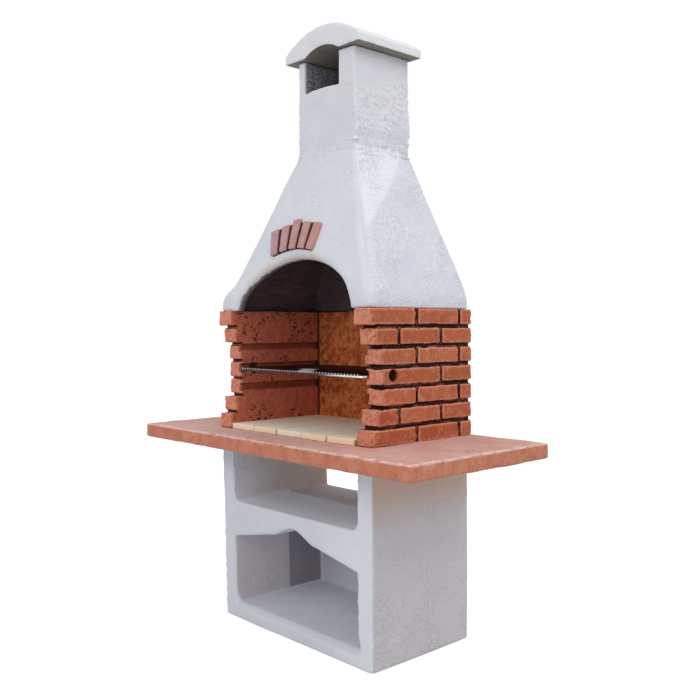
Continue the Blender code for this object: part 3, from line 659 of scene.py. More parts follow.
def build_brick():
    """Worn brick: each brick its own orange, salmon at the rubbed edges and noses, sandy yellow
    specks, black-red mortar in the joints, and a deep pitted red on the cast inner face. The joints'
    colour is also painted shade on sunk brick sides and in the spit hole, and the pits' colour is
    also painted shade in the grill grooves."""
    material, shader, place = open_material("red_brick", 0.9, 0.25)
    grit = place.group(cast_grit, Scale=1.0, Pits=0.22)
    colour = mix(place.mask("tone"), (186, 99, 66), (209, 125, 88))
    colour = mix(grit["Mottle"].ramp(0.35, 0.75, 0.0, 0.6), colour, (172, 86, 60))
    colour = mix(place.noise(240.0, 3.0, 0.7).ramp(0.40, 0.62, 0.40, 0.0), colour, (140, 62, 42))
    cloud = place.stretched(1.0, 1.0, 1.6).noise(34.0, 4.0, 0.65)
    colour = mix(cloud.ramp(0.48, 0.72, 0.0, 0.55), colour, (226, 142, 100))
    colour = mix(place.mask("edge") * grit["Height"].ramp(0.3, 0.6), colour, (226, 150, 124))
    sand = place.noise(170.0, 2.0, 0.6).ramp(0.58, 0.66) * place.noise(26.0).ramp(0.42, 0.60)
    colour = mix(sand * 0.42, colour, (230, 184, 128))
    colour = mix(grit["Pit"] * 0.7, colour, (104, 44, 28))
    warm = place.mask("warm")
    dark = mix(warm, (197, 104, 77), (172, 77, 36))
    light = mix(warm, (218, 127, 98), (222, 135, 80))
    inner = mix(place.noise(48.0, 5.0, 0.72).ramp(0.38, 0.64), dark, light)
    open_grit = place.group(cast_grit, Scale=1.5, Pits=0.5)
    pits = open_grit["Pit"] * place.noise(20.0, 3.0).ramp(0.45, 0.62, 0.25, 1.0)
    # Pits, and painted shade in the grill grooves, in a deep red-brown.
    inner = mix(pits.math("MAXIMUM", place.mask("pit")) * 0.85, inner, (62, 24, 16))
    colour = mix(place.mask("inner"), colour, inner)
    # The joints' near-black, also painted as shade on sunk brick sides and in the spit hole.
    mortar = mix(grit["Mottle"], (34, 10, 6), (50, 17, 11))
    colour = mix(place.mask("joint"), colour, mortar)
    finish_shader(shader, colour, grit["Height"], 0.9, 0.0011)
    return material


red_brick = build_brick()


def brick_row(course, start, end, cuts, number):
    """The bricks of a course between two ends and its cuts: for each, its extent along the wall and
    in height, and its number."""
    middle = panel_low[2] + course * (brick_height + BED_HEIGHT) + brick_height / 2
    height = (middle - brick_height / 2, middle + brick_height / 2)
    ends = [start, *cuts, end]
    return [(sorted(pair), height, number + 10 * course + place)
            for place, pair in enumerate(zip(ends, ends[1:]))]


def perpend_places(course, length, shifted, shifted_pitch):
    """Distances of a course's upright joints from one end, with a start and a pitch of their own
    in every other course."""
    start, pitch = (shifted, shifted_pitch) if course % 2 else (FIRST_PERPEND, BRICK_PITCH)
    return np.arange(start, length, pitch)


def brick_distance(u, y, z, brick):
    """Distance to one brick: a plan rectangle with its own radius at each corner, then rounded over
    its upper and lower edges. Each face is off by up to a millimetre."""
    (u0, u1), (y0, y1), (z0, z1), radii, number = brick
    off = (lattice_hash(np.arange(4), number, 0, 7) - 0.5) * BRICK_MISFIT
    y0, y1, z0, z1 = np.array((y0, y1, z0, z1)) + off + BRICK_SWELL * np.array((-1, 1, -1, 1))
    half_u, half_y = (u1 - u0) / 2, (y1 - y0) / 2
    pu, py = u - (u0 + u1) / 2, y - (y0 + y1) / 2
    front = np.where(pu > 0, radii[1], radii[0])
    rear = np.where(pu > 0, radii[2], BRICK_CORNER)
    radius = np.where(py > 0, rear, front)
    qu, qy = np.abs(pu) - half_u + radius, np.abs(py) - half_y + radius
    plan = np.minimum(np.maximum(qu, qy), 0) + np.hypot(np.maximum(qu, 0), np.maximum(qy, 0)) - radius
    return overlap(BRICK_EDGE, plan, between(z, z0, z1))


def lay_bricks(field, u, y, z, bricks):
    """The distance field of the mortar core, joined with each brick's."""
    for brick in bricks:
        field = np.minimum(field, brick_distance(u, y, z, brick))
    return field


def nearest_brick(u, y, z, bricks):
    """At each point, the distance to the nearest brick, that brick's number, and a share that is 1
    on its outline and 0 further in."""
    nearest, number, edge = np.full(len(u), np.inf), np.zeros(len(u), int), np.zeros(len(u))
    for brick in bricks:
        away = brick_distance(u, y, z, brick)
        closer = away < nearest
        rim = -np.maximum(between(y, *brick[1]), between(z, *brick[2]))
        edge = np.where(closer, 1 - fade(0.001, 0.008, rim), edge)
        number = np.where(closer, brick[4], number)
        nearest = np.where(closer, away, nearest)
    return nearest, number, edge


def course_fronts(side):
    """Y of each course's front end. On the left they stand further out, most at the bottom."""
    ahead = LEFT_AHEAD * (1 - np.arange(COURSES) / (COURSES + 2)) * (side < 0)
    return panel_low[1] + END_HOLLOW * np.array(END_HOLLOW_SHARES) - ahead


def panel_bricks(side):
    """The bricks of a side panel, seen as the right-hand one: their extents in depth, along the
    panel and in height, their corner radii and numbers."""
    hole, nose = panel_low[1] + SPIT_HOLE_SETBACK, NOSE_OUTER_RADIUS[side]
    bricks = []
    for course, front in enumerate(course_fronts(side)):
        length = panel_high[1] - front - nose - PERPEND_WIDTH
        cuts = panel_high[1] - perpend_places(course, length, SHIFTED_PERPEND, SHIFTED_PITCH)
        if course == SPIT_HOLE_COURSE:
            cuts = cuts[np.abs(cuts - hole) > 2 * SPIT_HOLE_RADIUS]
        row = brick_row(course, panel_high[1] + BRICK_PROUD + PERPEND_WIDTH / 2, front - PERPEND_WIDTH / 2,
                        cuts, 100 * (side > 0))
        for place, ((fore, rear), height, number) in enumerate(row):
            last = place == len(row) - 1
            radii = [NOSE_INNER_RADIUS if last else BRICK_CORNER, nose if last else BRICK_CORNER,
                     BRICK_CORNER if place else REAR_RADIUS]
            bricks.append(((panel_low[0] + FIT_GAP, panel_high[0] + BRICK_PROUD),
                           (fore + PERPEND_WIDTH / 2, rear - PERPEND_WIDTH / 2), height, radii, number))
    return bricks


def swayed(side, y, z):
    """Places on a wall, moved by two noises so that the bricks' outlines wander."""
    y, z = np.broadcast_arrays(y, z)
    places = np.column_stack((np.full(y.size, float(side)), y.ravel(), z.ravel()))
    along, up = 0.0011 * noise(places, 0.040, 21), 0.0009 * noise(places, 0.034, 26)
    return y + along.reshape(y.shape), z + up.reshape(y.shape)


def brick_front(z, side):
    """Y of the front ends at each height: the course's, and in a bed joint the deeper of the two
    courses it lies between."""
    fronts = course_fronts(side)
    place = (z - panel_low[2]) / (brick_height + BED_HEIGHT)
    course = np.clip(np.floor(place), 0, COURSES - 1).astype(int)
    in_bed = (place - course) * (brick_height + BED_HEIGHT) > brick_height
    above = fronts[np.minimum(course + 1, COURSES - 1)]
    return np.where(in_bed, np.maximum(fronts[course], above), fronts[course])


def spit_hole_distance(y, z):
    """Distance to the round hole for the spit."""
    behind, above = y - panel_low[1] - SPIT_HOLE_SETBACK, z - panel_low[2] - SPIT_HOLE_HEIGHT
    return np.hypot(behind, above) - SPIT_HOLE_RADIUS


def make_side_panel(node, side):
    """The panel as a distance field in u, the distance from the middle plane: bricks joined to a
    mortar core, less the grooves and the spit hole."""
    low, high = panel_low, panel_high
    bricks = panel_bricks(side)
    axes = u, y, z = grid_axes(low - (0, 0.005, 0), high + (BRICK_PROUD, BRICK_PROUD, 0), PANEL_PITCH)
    core = overlap(CORE_EDGE, between(u, low[0], high[0] - BED_DEPTH), z - high[2] + FIT_GAP, low[2] - z,
                   y - high[1] + BED_REAR_DEPTH, brick_front(z, side) + BED_FRONT_DEPTH[side] - y)
    body = lay_bricks(core, u, *swayed(side, y, z), bricks)
    levels = low[2] + GROOVE_MIDDLE + GROOVE_PITCH * np.array((-1, 0, 1))
    grooves = np.abs(z[..., None] - levels).min(axis=-1) - GROOVE_HEIGHT / 2
    grooves = overlap(0.001, np.maximum(grooves, u - low[0] - GROOVE_DEPTH), y - back_face)
    field = overlap(0.0018, body, -grooves, -spit_hole_distance(y, z))
    points, quads, normals = zero_surface(field, axes)
    u, y, z = points.T
    nearest, number, edge = nearest_brick(u, *swayed(side, y, z), bricks)
    in_groove = np.abs(z[:, None] - levels).min(axis=1) < GROOVE_HEIGHT / 2 + 0.001
    in_groove &= u < low[0] + GROOVE_DEPTH + 0.001
    in_hole = spit_hole_distance(y, z) < 0.0015
    nose = 1 - fade(0.004, 0.016, y - brick_front(z, side))
    inner = ((u < low[0] + 0.0016) | in_groove) * (1 - nose)
    level_face = fade(0.3, 0.7, np.abs(normals[:, 2])) * (z < high[2] - 0.004)
    toward = z + 0.5 * BED_HEIGHT * np.sign(normals[:, 2]) * (level_face > 0)
    covered = np.minimum(high[0] - u, y - brick_front(toward, side))
    upright = fade(0.3, 0.7, np.abs(normals[:, 1])) * (1 - nose) * (y < high[1] - 0.005)
    # Painted shade: brick sides sunk inside the joints get the joints' dark colour.
    sunk = np.maximum(level_face * fade(0.0012, 0.0032, covered), upright * fade(0.0012, 0.0032, high[0] - u))
    joint = np.maximum(fade(0.0010, 0.0028, nearest), sunk) * (1 - inner) * ~in_hole
    # Painted shade: the spit hole is painted darker the deeper it goes.
    joint = np.maximum(joint, 0.85 * in_hole * fade(0.001, 0.010, high[0] - u))
    joint = np.maximum(joint, 0.8 * inner * fade(0.006, 0.002, np.abs(y - back_face)))
    space = np.column_stack((u * side, y, z))
    worn = (0.0005 * noise(space, 0.014, 22) - 0.0005) * np.where(inner > 0.5, 0.4, 1)
    chips = 0.0015 * edge * fade(0.1, 0.7, noise(space, 0.011, 23, 2)) * (1 - inner) * (1 - joint)
    lumps = 0.0020 * nose * noise(space, 0.028, 27)
    pits = fade(0.34, 0.58, noise(space, (0.009, 0.009, 0.005), 24, 2, 0.4))
    pits *= fade(-0.15, 0.35, noise(space, 0.055, 25, 1)) * inner * ~in_groove
    points += normals * (worn - chips + lumps - 0.0024 * pits)[:, None]
    u *= side
    # Painted shade: the grooves' upper faces and backs are painted dark, carried in the pit mask.
    shaded = in_groove * np.where(normals[:, 2] < -0.4, 0.9, np.where(normals[:, 2] > 0.4, 0.0, 0.55))
    panel = make_piece(node + "_casting", points, quads[:, ::side], red_brick, joint=joint, inner=inner,
                       tone=lattice_hash(number % 100, 3, int(side > 0), 9),
                       edge=np.maximum(edge, 0.75 * nose) * (1 - inner),
                       pit=np.maximum(pits, shaded * (1 - nose)))
    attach(panel, "masonry")
    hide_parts(node)


make_side_panel("left_brick_panel", -1)
make_side_panel("right_brick_panel", 1)


# The back panel stands between the side panels: flat, orange-brown and pitted towards the fire,
# and faced with the same brick courses behind.
BACK_PITCH = 0.0034


def make_back_panel():
    """The same brick and mortar field as the side panels, turned so that the bricks face +Y."""
    low, high = map(np.array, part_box("back_brick_panel"))
    axes = x, y, z = grid_axes(low, high, BACK_PITCH)
    core = overlap(CORE_EDGE, between(x, low[0], high[0]), between(z, low[2], high[2] - FIT_GAP),
                   between(y, low[1], high[1] - BED_DEPTH))
    bricks = []
    for course in range(COURSES):
        cuts = low[0] + perpend_places(course, high[0] - low[0] - PERPEND_WIDTH,
                                       FIRST_PERPEND + BRICK_PITCH / 2, BRICK_PITCH)
        row = brick_row(course, low[0] - PERPEND_WIDTH / 2, high[0] + PERPEND_WIDTH / 2, cuts, 300)
        for (start, end), height, number in row:
            bricks.append(((low[1] + 0.01, high[1]), (start + PERPEND_WIDTH / 2, end - PERPEND_WIDTH / 2),
                           height, [BRICK_CORNER] * 3, number))
    points, quads, normals = zero_surface(lay_bricks(core, y, x, z, bricks), axes)
    x, y, z = points.T
    nearest, number, edge = nearest_brick(y, x, z, bricks)
    inner = np.where(y < low[1] + 0.005, 1.0, 0.0)
    joint = fade(0.0010, 0.0028, nearest) * (1 - inner)
    joint = np.maximum(joint, 0.8 * inner * fade(-0.006, -0.002, np.abs(x) - panel_low[0]))
    worn = (0.0006 * noise(points, 0.014, 31) - 0.0005) * np.where(inner > 0.5, 0.5, 1)
    chips = 0.0020 * edge * fade(0.1, 0.7, noise(points, 0.011, 32, 2)) * (1 - inner) * (1 - joint)
    pits = fade(0.30, 0.58, noise(points + 0.0055, (0.012, 0.0091, 0.007), 33, 2, 0.4))
    pits *= fade(-0.1, 0.4, noise(points, 0.07, 34, 1)) * inner
    points += normals * (worn - chips - 0.0022 * pits)[:, None]
    panel = make_piece("back_brick_panel_casting", points, quads, red_brick, joint=joint, inner=inner,
                       tone=lattice_hash(number, 3, 2, 9), edge=edge * (1 - inner), pit=pits, warm=inner)
    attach(panel, "masonry")
    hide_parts("back_brick_panel")


make_back_panel()


# The hearth is laid dry from pressed fireclay bricks, whole ones in front and cut ones behind.
# They come out of the kiln in slightly different creams, one peach and one nearly grey.
FIREBRICK_EDGE = 0.0020
FIREBRICK_SPACING = 0.006
HEARTH_COLUMNS = 5
FIREBRICK_TINTS = (0.35, 0.7, 0.05, 0.85, 1.0)
FIREBRICK_STEPS = (0.0, 0.0012, -0.0006, 0.0014, -0.0004)


def build_firebrick():
    """Fireclay: cream to peach by brick, sandy mottle, small dark iron specks, open pores, and painted shade
    along the arrises where the bricks meet.
    """
    material, shader, place = open_material("firebrick")
    grit = place.group(cast_grit, Scale=1.8, Pits=0.10)
    colour = mix(place.mask("tint"), (252, 240, 225), (255, 226, 180))
    colour = mix(grit["Mottle"].ramp(0.35, 0.75, 0.0, 0.5), colour, (248, 231, 208))
    # Painted shade in the gaps where the bricks meet.
    colour = mix(place.mask("edge") * 0.7, colour, (158, 124, 96))
    colour = mix(grit["Pit"] * 0.5, colour, (150, 110, 74))
    finish_shader(shader, colour, grit["Height"], 0.8, 0.0006)
    return material


firebrick = build_firebrick()


def make_firebrick(node, tint, seed, step=0.0):
    """One brick's skin, rounded a little, with waves and a few chipped arrises, laid a step out."""
    low, high = map(np.array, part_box(node))
    points, quads, near_edge = rounded_block(low, high, FIREBRICK_SPACING, FIREBRICK_EDGE, FIREBRICK_EDGE)
    normals = point_normals(points, quads)
    change = 0.0002 * noise(points + seed, 0.02, 41) - 0.0003
    change -= 0.0012 * near_edge * fade(0.3, 0.8, noise(points + seed, 0.02, 42, 2))
    points += normals * change[:, None] - (0, step, 0)
    beside = np.minimum(points[:, 0] - low[0], high[0] - points[:, 0])
    # Painted shade: the arrises at each brick's ends are painted brown, as the shade in the gaps between the
    # dry-laid bricks.
    brick = make_piece(node + "_block", points, quads, firebrick,
                       tint=tint * np.where(normals[:, 1] < -0.5, 1.0, 0.35),
                       edge=fade(0.0026, 0.0004, beside) * np.where(normals[:, 2] > 0.5, 0.5, 1))
    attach(brick, "masonry")
    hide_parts(node)


for column in range(HEARTH_COLUMNS):
    make_firebrick(f"hearth_firebrick_front_{column + 1}", FIREBRICK_TINTS[column], 0.31 * column,
                   FIREBRICK_STEPS[column])
    make_firebrick(f"hearth_firebrick_rear_{column + 1}", FIREBRICK_TINTS[(2 * column + 1) % HEARTH_COLUMNS],
                   1.7 + 0.23 * column)


# The hood is one thin casting that narrows from the fire box to the chimney, with a flattened arch
# for a mouth. It is rendered white outside, washed beige on the splayed edge of the arch, and left
# as bare dark concrete inside, blackened by smoke.
HOOD_PITCH = 0.0045
HOOD_BAND = 0.037
HOOD_SLOPE_HEIGHT = 0.456
HOOD_WALL = 0.032
HOOD_EDGE = 0.013
HOOD_NEAR_EDGE = 0.034
HOOD_LEFT_EDGE = 0.050
HOOD_COAT = 0.0015
HOOD_SIDE_COAT = 0.0035
HOOD_FOOT_EDGE = 0.005
BAND_EASE = 0.05
NECK_EASE = 0.05
NECK_OVERLAP = 0.018
RIPPLE_HEIGHT = 0.0052
FOLD_START = 0.36
FOLD_END = 0.85
FOLD_WIDTH = 0.5
FOLD_HEIGHT = 0.007
ARCH_HALF_SPAN = 0.262
ARCH_RISE = 0.152
ARCH_POWER = 1.8
ARCH_SPLAY = 0.024
ARCH_EDGE = 0.008
CHIMNEY_EDGE = 0.009
chimney_low, chimney_high = map(np.array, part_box("chimney_shaft"))
hood_low, hood_high = map(np.array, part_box("hood"))


def hood_shares(z):
    """How far the hood has narrowed at each height, from 0 at the upright foot band to 1 at the
    neck. Each crease is eased by a parabola that meets the two straight lines on either side."""
    share = (z - hood_low[2] - HOOD_BAND) / HOOD_SLOPE_HEIGHT
    at_band = (share + BAND_EASE) ** 2 / (4 * BAND_EASE)
    at_neck = 1 - (1 + NECK_EASE - share) ** 2 / (4 * NECK_EASE)
    eased = np.where(np.abs(share - 1) < NECK_EASE, at_neck, share)
    return np.clip(np.where(np.abs(share) < BAND_EASE, at_band, eased), 0, 1)


def hood_corner(x, y, z):
    """Radius of the hood's upright edges, large on the front one at the right, where the trowel
    turned the corner, larger still half way up the left one, and the chimney's at the neck."""
    share = hood_shares(z)
    in_front = y < 0.5 * (hood_low[1] + hood_high[1])
    foot = np.where((x > 0) & in_front, HOOD_NEAR_EDGE, HOOD_EDGE)
    rounded = fade(0.0, 0.12, share) * fade(0.95, 0.35, share) * ((x < 0) & in_front)
    return foot + (CHIMNEY_EDGE - foot) * share ** 3 + (HOOD_LEFT_EDGE - HOOD_EDGE) * rounded


def hood_edges(share):
    """Y of the front face and of the rear face at that share of the narrowing."""
    return (hood_low[1] + (chimney_low[1] - hood_low[1]) * share,
            hood_high[1] + (chimney_high[1] - hood_high[1]) * share)


def hood_faces(x, y, z):
    """Signed distances to the hood's four leaning faces: front, rear, left and right."""
    share = hood_shares(z)
    front, rear = hood_edges(share)
    half = hood_high[0] + (chimney_high[0] - hood_high[0]) * share
    lean_front = math.cos(math.atan((chimney_low[1] - hood_low[1]) / HOOD_SLOPE_HEIGHT))
    lean_side = math.cos(math.atan((hood_high[0] - chimney_high[0]) / HOOD_SLOPE_HEIGHT))
    on_slope = (share > 0) & (share < 1)
    side_scale = np.where(on_slope, lean_side, 1)
    return ((front - y) * np.where(on_slope, lean_front, 1), y - rear, (-half - x) * side_scale,
            (x - half) * side_scale)


def coated(faces, z):
    """The four distances less the coat of render, which is thicker at the left and right of the
    foot and the same all round at the neck and above."""
    sides = HOOD_COAT + (HOOD_SIDE_COAT - HOOD_COAT) * (1 - hood_shares(z))
    return [face - coat for face, coat in zip(faces, (HOOD_COAT, HOOD_COAT, sides, sides))]


def arch_distance(x, z):
    """Distance to the arch, a superellipse: how far its power sum is from one, over its gradient."""
    ax, az = np.abs(x) / ARCH_HALF_SPAN, np.maximum(z - hood_low[2], 0) / ARCH_RISE
    total = np.maximum((ax ** ARCH_POWER + az ** ARCH_POWER) ** (1 / ARCH_POWER), 1e-6)
    slope_x = (ax / total) ** (ARCH_POWER - 1) / ARCH_HALF_SPAN
    slope_z = (az / total) ** (ARCH_POWER - 1) / ARCH_RISE
    return (total - 1) / np.maximum(np.hypot(slope_x, slope_z), 1e-6)


def neck_ripples(points, normals):
    """Height of the trowel's ripples round the neck: ridges of a flattened noise, strongest at the
    crease and on the right."""
    near = fade(0.050, 0.012, np.abs(points[:, 2] - (hood_high[2] - NECK_OVERLAP)))
    toward = 0.3 + 0.7 * fade(0.2, 0.7, normals[:, 0])
    ridge = 1 - np.abs(noise(points, (0.060, 0.060, 0.013), 56))
    return RIPPLE_HEIGHT * near * toward * (fade(0.6, 1.0, ridge) - 0.35)


def make_hood():
    """The leaning faces rounded together, less the same shape drawn in by the wall, less the arch,
    which a parabola widens towards the front. Each side bulges along a fold that runs from the
    middle of its front edge up to the rear of the neck."""
    low, high = hood_low, hood_high
    axes = x, y, z = grid_axes(low, high, HOOD_PITCH)
    faces = hood_faces(x, y, z)
    corner = hood_corner(x, y, z)
    outside = overlap(corner, *coated(faces, z))
    inside = overlap(corner, *[face + HOOD_WALL for face in faces])
    flare = np.maximum(ARCH_SPLAY + faces[0], 0) ** 2 / (2 * ARCH_SPLAY)
    mouth = np.maximum(arch_distance(x, z) - flare, y - chimney_low[1] - HOOD_WALL)
    shell = overlap(HOOD_FOOT_EDGE, np.maximum(outside, -inside), low[2] - z)
    field = overlap(ARCH_EDGE, np.maximum(shell, z - high[2]), -mouth)
    points, quads, normals = zero_surface(field, axes)
    x, y, z = points.T
    faces = hood_faces(x, y, z)
    skin = overlap(hood_corner(x, y, z), *faces)
    chamber = fade(HOOD_WALL - 0.007, HOOD_WALL - 0.003, 0.002 * noise(points, 0.012, 59, 1) - skin)
    to_left = fade(0.02, -0.08, x)
    start = 0.009 - 0.006 * to_left * fade(0.15, 0.05, z - low[2]) + 0.003 * noise(points, 0.006, 55, 1)
    speckled = 0.34 + to_left * (0.05 + 0.17 * fade(start, HOOD_WALL - 0.006, -skin))
    soot = np.maximum(chamber, speckled * fade(start, start + 0.008, -skin))
    wash = fade(0.040, 0.008, arch_distance(x, z)) * (np.abs(faces[0]) < HOOD_WALL) * fade(0.14, 0.06, x)
    wash *= fade(0.04, 0.14, z - low[2]) * (0.7 + 0.3 * noise(points, 0.03, 57, 1))
    side = fade(0.5, 0.8, np.abs(normals[:, 0]))
    share = hood_shares(z)
    front, rear = hood_edges(share)
    across = np.clip((y - front) / (rear - front), 0, 1)
    past_fold = FOLD_END * np.clip((share - FOLD_START) / (1 - FOLD_START), 0, 1) ** 1.2 - across
    crest = fade(FOLD_WIDTH, 0, np.abs(past_fold)) * fade(0.95, 0.80, share) * fade(0, 0.3, share)
    # Painted highlight: a paler triangle on the right face, above and in front of the fold, as if it caught
    # the light.
    fresh = fade(-0.02, 0.03, past_fold) * fade(0.55, 0.85, np.abs(normals[:, 0])) * (x > 0)
    fresh *= fade(0.010, 0.030, high[2] - z + 0.006 * noise(points, 0.02, 58, 1))
    rough = 0.15 + 0.40 * side + 0.25 * fade(0, 0.5, noise(points, 0.12, 51, 1))
    rough = np.max([rough, side * fade(0.65, 0.95, share), 0.5 * (normals[:, 1] > 0.8)], axis=0)
    waves = 0.0016 * noise(points, 0.13, 52, 1) + 0.0006 * noise(points, 0.045, 53, 1)
    waves += 0.0009 * noise(points * (1, 1, 2.2), 0.03, 54) * rough
    change = waves * fade(0.0, 0.012, z - low[2]) * fade(NECK_OVERLAP, 0.040, high[2] - z)
    change += FOLD_HEIGHT * crest * side * (skin > -0.004)
    change += neck_ripples(points, normals) * (soot < 0.1) - SEAM_SINK * fade(0.006, 0.0, high[2] - z)
    points += normals * change[:, None]
    hood = make_piece("hood_casting", points, quads, white_render, soot=soot, wash=wash, rough=rough,
                      fresh=0.8 * fresh, spatter=0.25 * side * (soot < 0.1))
    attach(hood, "masonry")
    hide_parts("hood")


make_hood()


# Five thin wedge stones, cast dusty pink, are glued over the arch in a fan, the middle one a little
# taller. Dark maroon mortar fills the joints between them to about half their depth.
STONE_COUNT = 5
STONE_INNER_RADIUS = 0.400
STONE_HEIGHT = 0.086
KEYSTONE_RISE = 0.010
STONE_JOINT = 0.0135
STONE_THICKNESS = 0.011
STONE_FAN = math.radians(15.2)
STONE_TURN = math.radians(-4)
STONE_SINK = 0.006
STONE_ABOVE_ARCH = 0.034
STONE_OFFSET = 0.036
STONE_EDGE = 0.0016
STONE_SPACING = 0.0035
MORTAR_THICKNESS = 0.0060
MORTAR_BITE = 0.0008
BEDDING_THICKNESS = 0.0035
STONE_TONES = (0.0, 0.3, 0.4, 0.5, 0.75)

lean = np.array((0, chimney_low[1] - hood_low[1], HOOD_SLOPE_HEIGHT))
face_up = lean / np.linalg.norm(lean)
face_out = np.array((0, -face_up[2], face_up[1]))
crown_height = ARCH_RISE + STONE_ABOVE_ARCH
crown_share = (crown_height - HOOD_BAND) / HOOD_SLOPE_HEIGHT
fan_crown = np.array((-STONE_OFFSET, hood_low[1] + lean[1] * crown_share, hood_low[2] + crown_height))
fan_middle = math.cos(STONE_TURN) * face_up + math.sin(STONE_TURN) * np.array((1, 0, 0))
fan_centre = fan_crown + FIT_GAP * face_out - STONE_INNER_RADIUS * fan_middle


def build_stone(name, cool, warm, dark, pore):
    """Cast stone: from a cool to a warm tone by stone, a darker mottle and rim, and open pores."""
    material, shader, place = open_material(name, 0.88, 0.25)
    grit = place.group(cast_grit, Scale=1.6, Pits=0.2)
    colour = mix(place.mask("tone"), cool, warm)
    colour = mix(grit["Mottle"].ramp(0.3, 0.7, 0.0, 0.6), colour, dark)
    colour = mix(place.mask("edge") * 0.5, colour, dark)
    colour = mix(grit["Pit"] * 0.6, colour, pore)
    finish_shader(shader, colour, grit["Height"], 0.8, 0.0007)
    return material


def fan_points(angle, reach, proud):
    """Places on the fan: turned by the angle from its middle, out by the reach from its centre, and
    proud of the hood's face. The right end sinks a little."""
    across = reach * np.sin(angle + STONE_TURN)
    along = reach * np.cos(angle + STONE_TURN) - STONE_SINK * fade(0, STONE_FAN, angle)
    return fan_centre + along[:, None] * face_up + proud[:, None] * face_out + np.outer(across, (1, 0, 0))


def make_wedge(name, start, end, inner, outer, thickness, material, seed, tone=0.0):
    """A rounded block whose length runs round the fan and whose width runs out from its centre."""
    middle = (inner + outer) / 2
    low, high = np.array((start * middle, inner, 0)), np.array((end * middle, outer, thickness))
    skin, quads, near_edge = rounded_block(low, high, STONE_SPACING, STONE_EDGE, STONE_EDGE)
    shift = skin + seed
    skin[:, 2] += 0.0003 * noise(shift, 0.02, 61) * (skin[:, 2] > thickness / 2)
    skin[:, :2] -= (0.0004 * noise(shift, 0.012, 62) * near_edge)[:, None]
    points = fan_points(skin[:, 0] / middle, skin[:, 1], skin[:, 2])
    if np.sum(point_normals(points, quads) * (points - points.mean(axis=0))) < 0:
        quads = quads[:, ::-1]
    piece = make_piece(name, points, quads, material, edge=near_edge, tone=np.full(len(points), tone))
    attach(piece, "masonry")
    return piece


pink_stone = build_stone("pink_stone", (196, 160, 166), (204, 156, 134), (184, 134, 128), (120, 70, 64))
maroon_mortar = build_stone("maroon_mortar", (76, 26, 21), (76, 26, 21), (58, 19, 15), (40, 18, 16))
wedge = 2 * STONE_FAN / STONE_COUNT
joint_angle = STONE_JOINT / STONE_INNER_RADIUS
stone_top = STONE_INNER_RADIUS + STONE_HEIGHT
for number in range(STONE_COUNT):
    start = (number - STONE_COUNT / 2) * wedge + joint_angle / 2
    stone = make_wedge(f"arch_stone_{number + 1}_block", start, start + wedge - joint_angle,
                       STONE_INNER_RADIUS, stone_top + KEYSTONE_RISE * (number == STONE_COUNT // 2),
                       STONE_THICKNESS, pink_stone, number * 0.37, STONE_TONES[number])
    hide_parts(f"arch_stone_{number + 1}")
for number in range(1, STONE_COUNT):
    middle = (number - STONE_COUNT / 2) * wedge
    reach = joint_angle / 2 + MORTAR_BITE / STONE_INNER_RADIUS
    mortar = make_wedge(f"arch_joint_{number}", middle - reach, middle + reach, STONE_INNER_RADIUS + 0.001,
                        stone_top - 0.001, MORTAR_THICKNESS, maroon_mortar, 5 + number)
bedding = make_wedge("arch_bedding", joint_angle - STONE_FAN, STONE_FAN - joint_angle,
                     STONE_INNER_RADIUS - 0.0025, STONE_INNER_RADIUS + 0.006, BEDDING_THICKNESS,
                     maroon_mortar, 11)


# The chimney is a square tube that stands on the hood's neck. Its render was thrown on rough at the
# sides and floated smooth in front, and a notch under the cap lets the smoke out.
CHIMNEY_PITCH = 0.0036
CHIMNEY_WALL = 0.030
CHIMNEY_SWELL = 0.0055
NOTCH_DEPTH = 0.048
OUTLET_WIDTH = 0.160
OUTLET_HEIGHT = 0.102
OUTLET_OFFSET = 0.020
OUTLET_EDGE = 0.004
SILL_RISE = 0.004


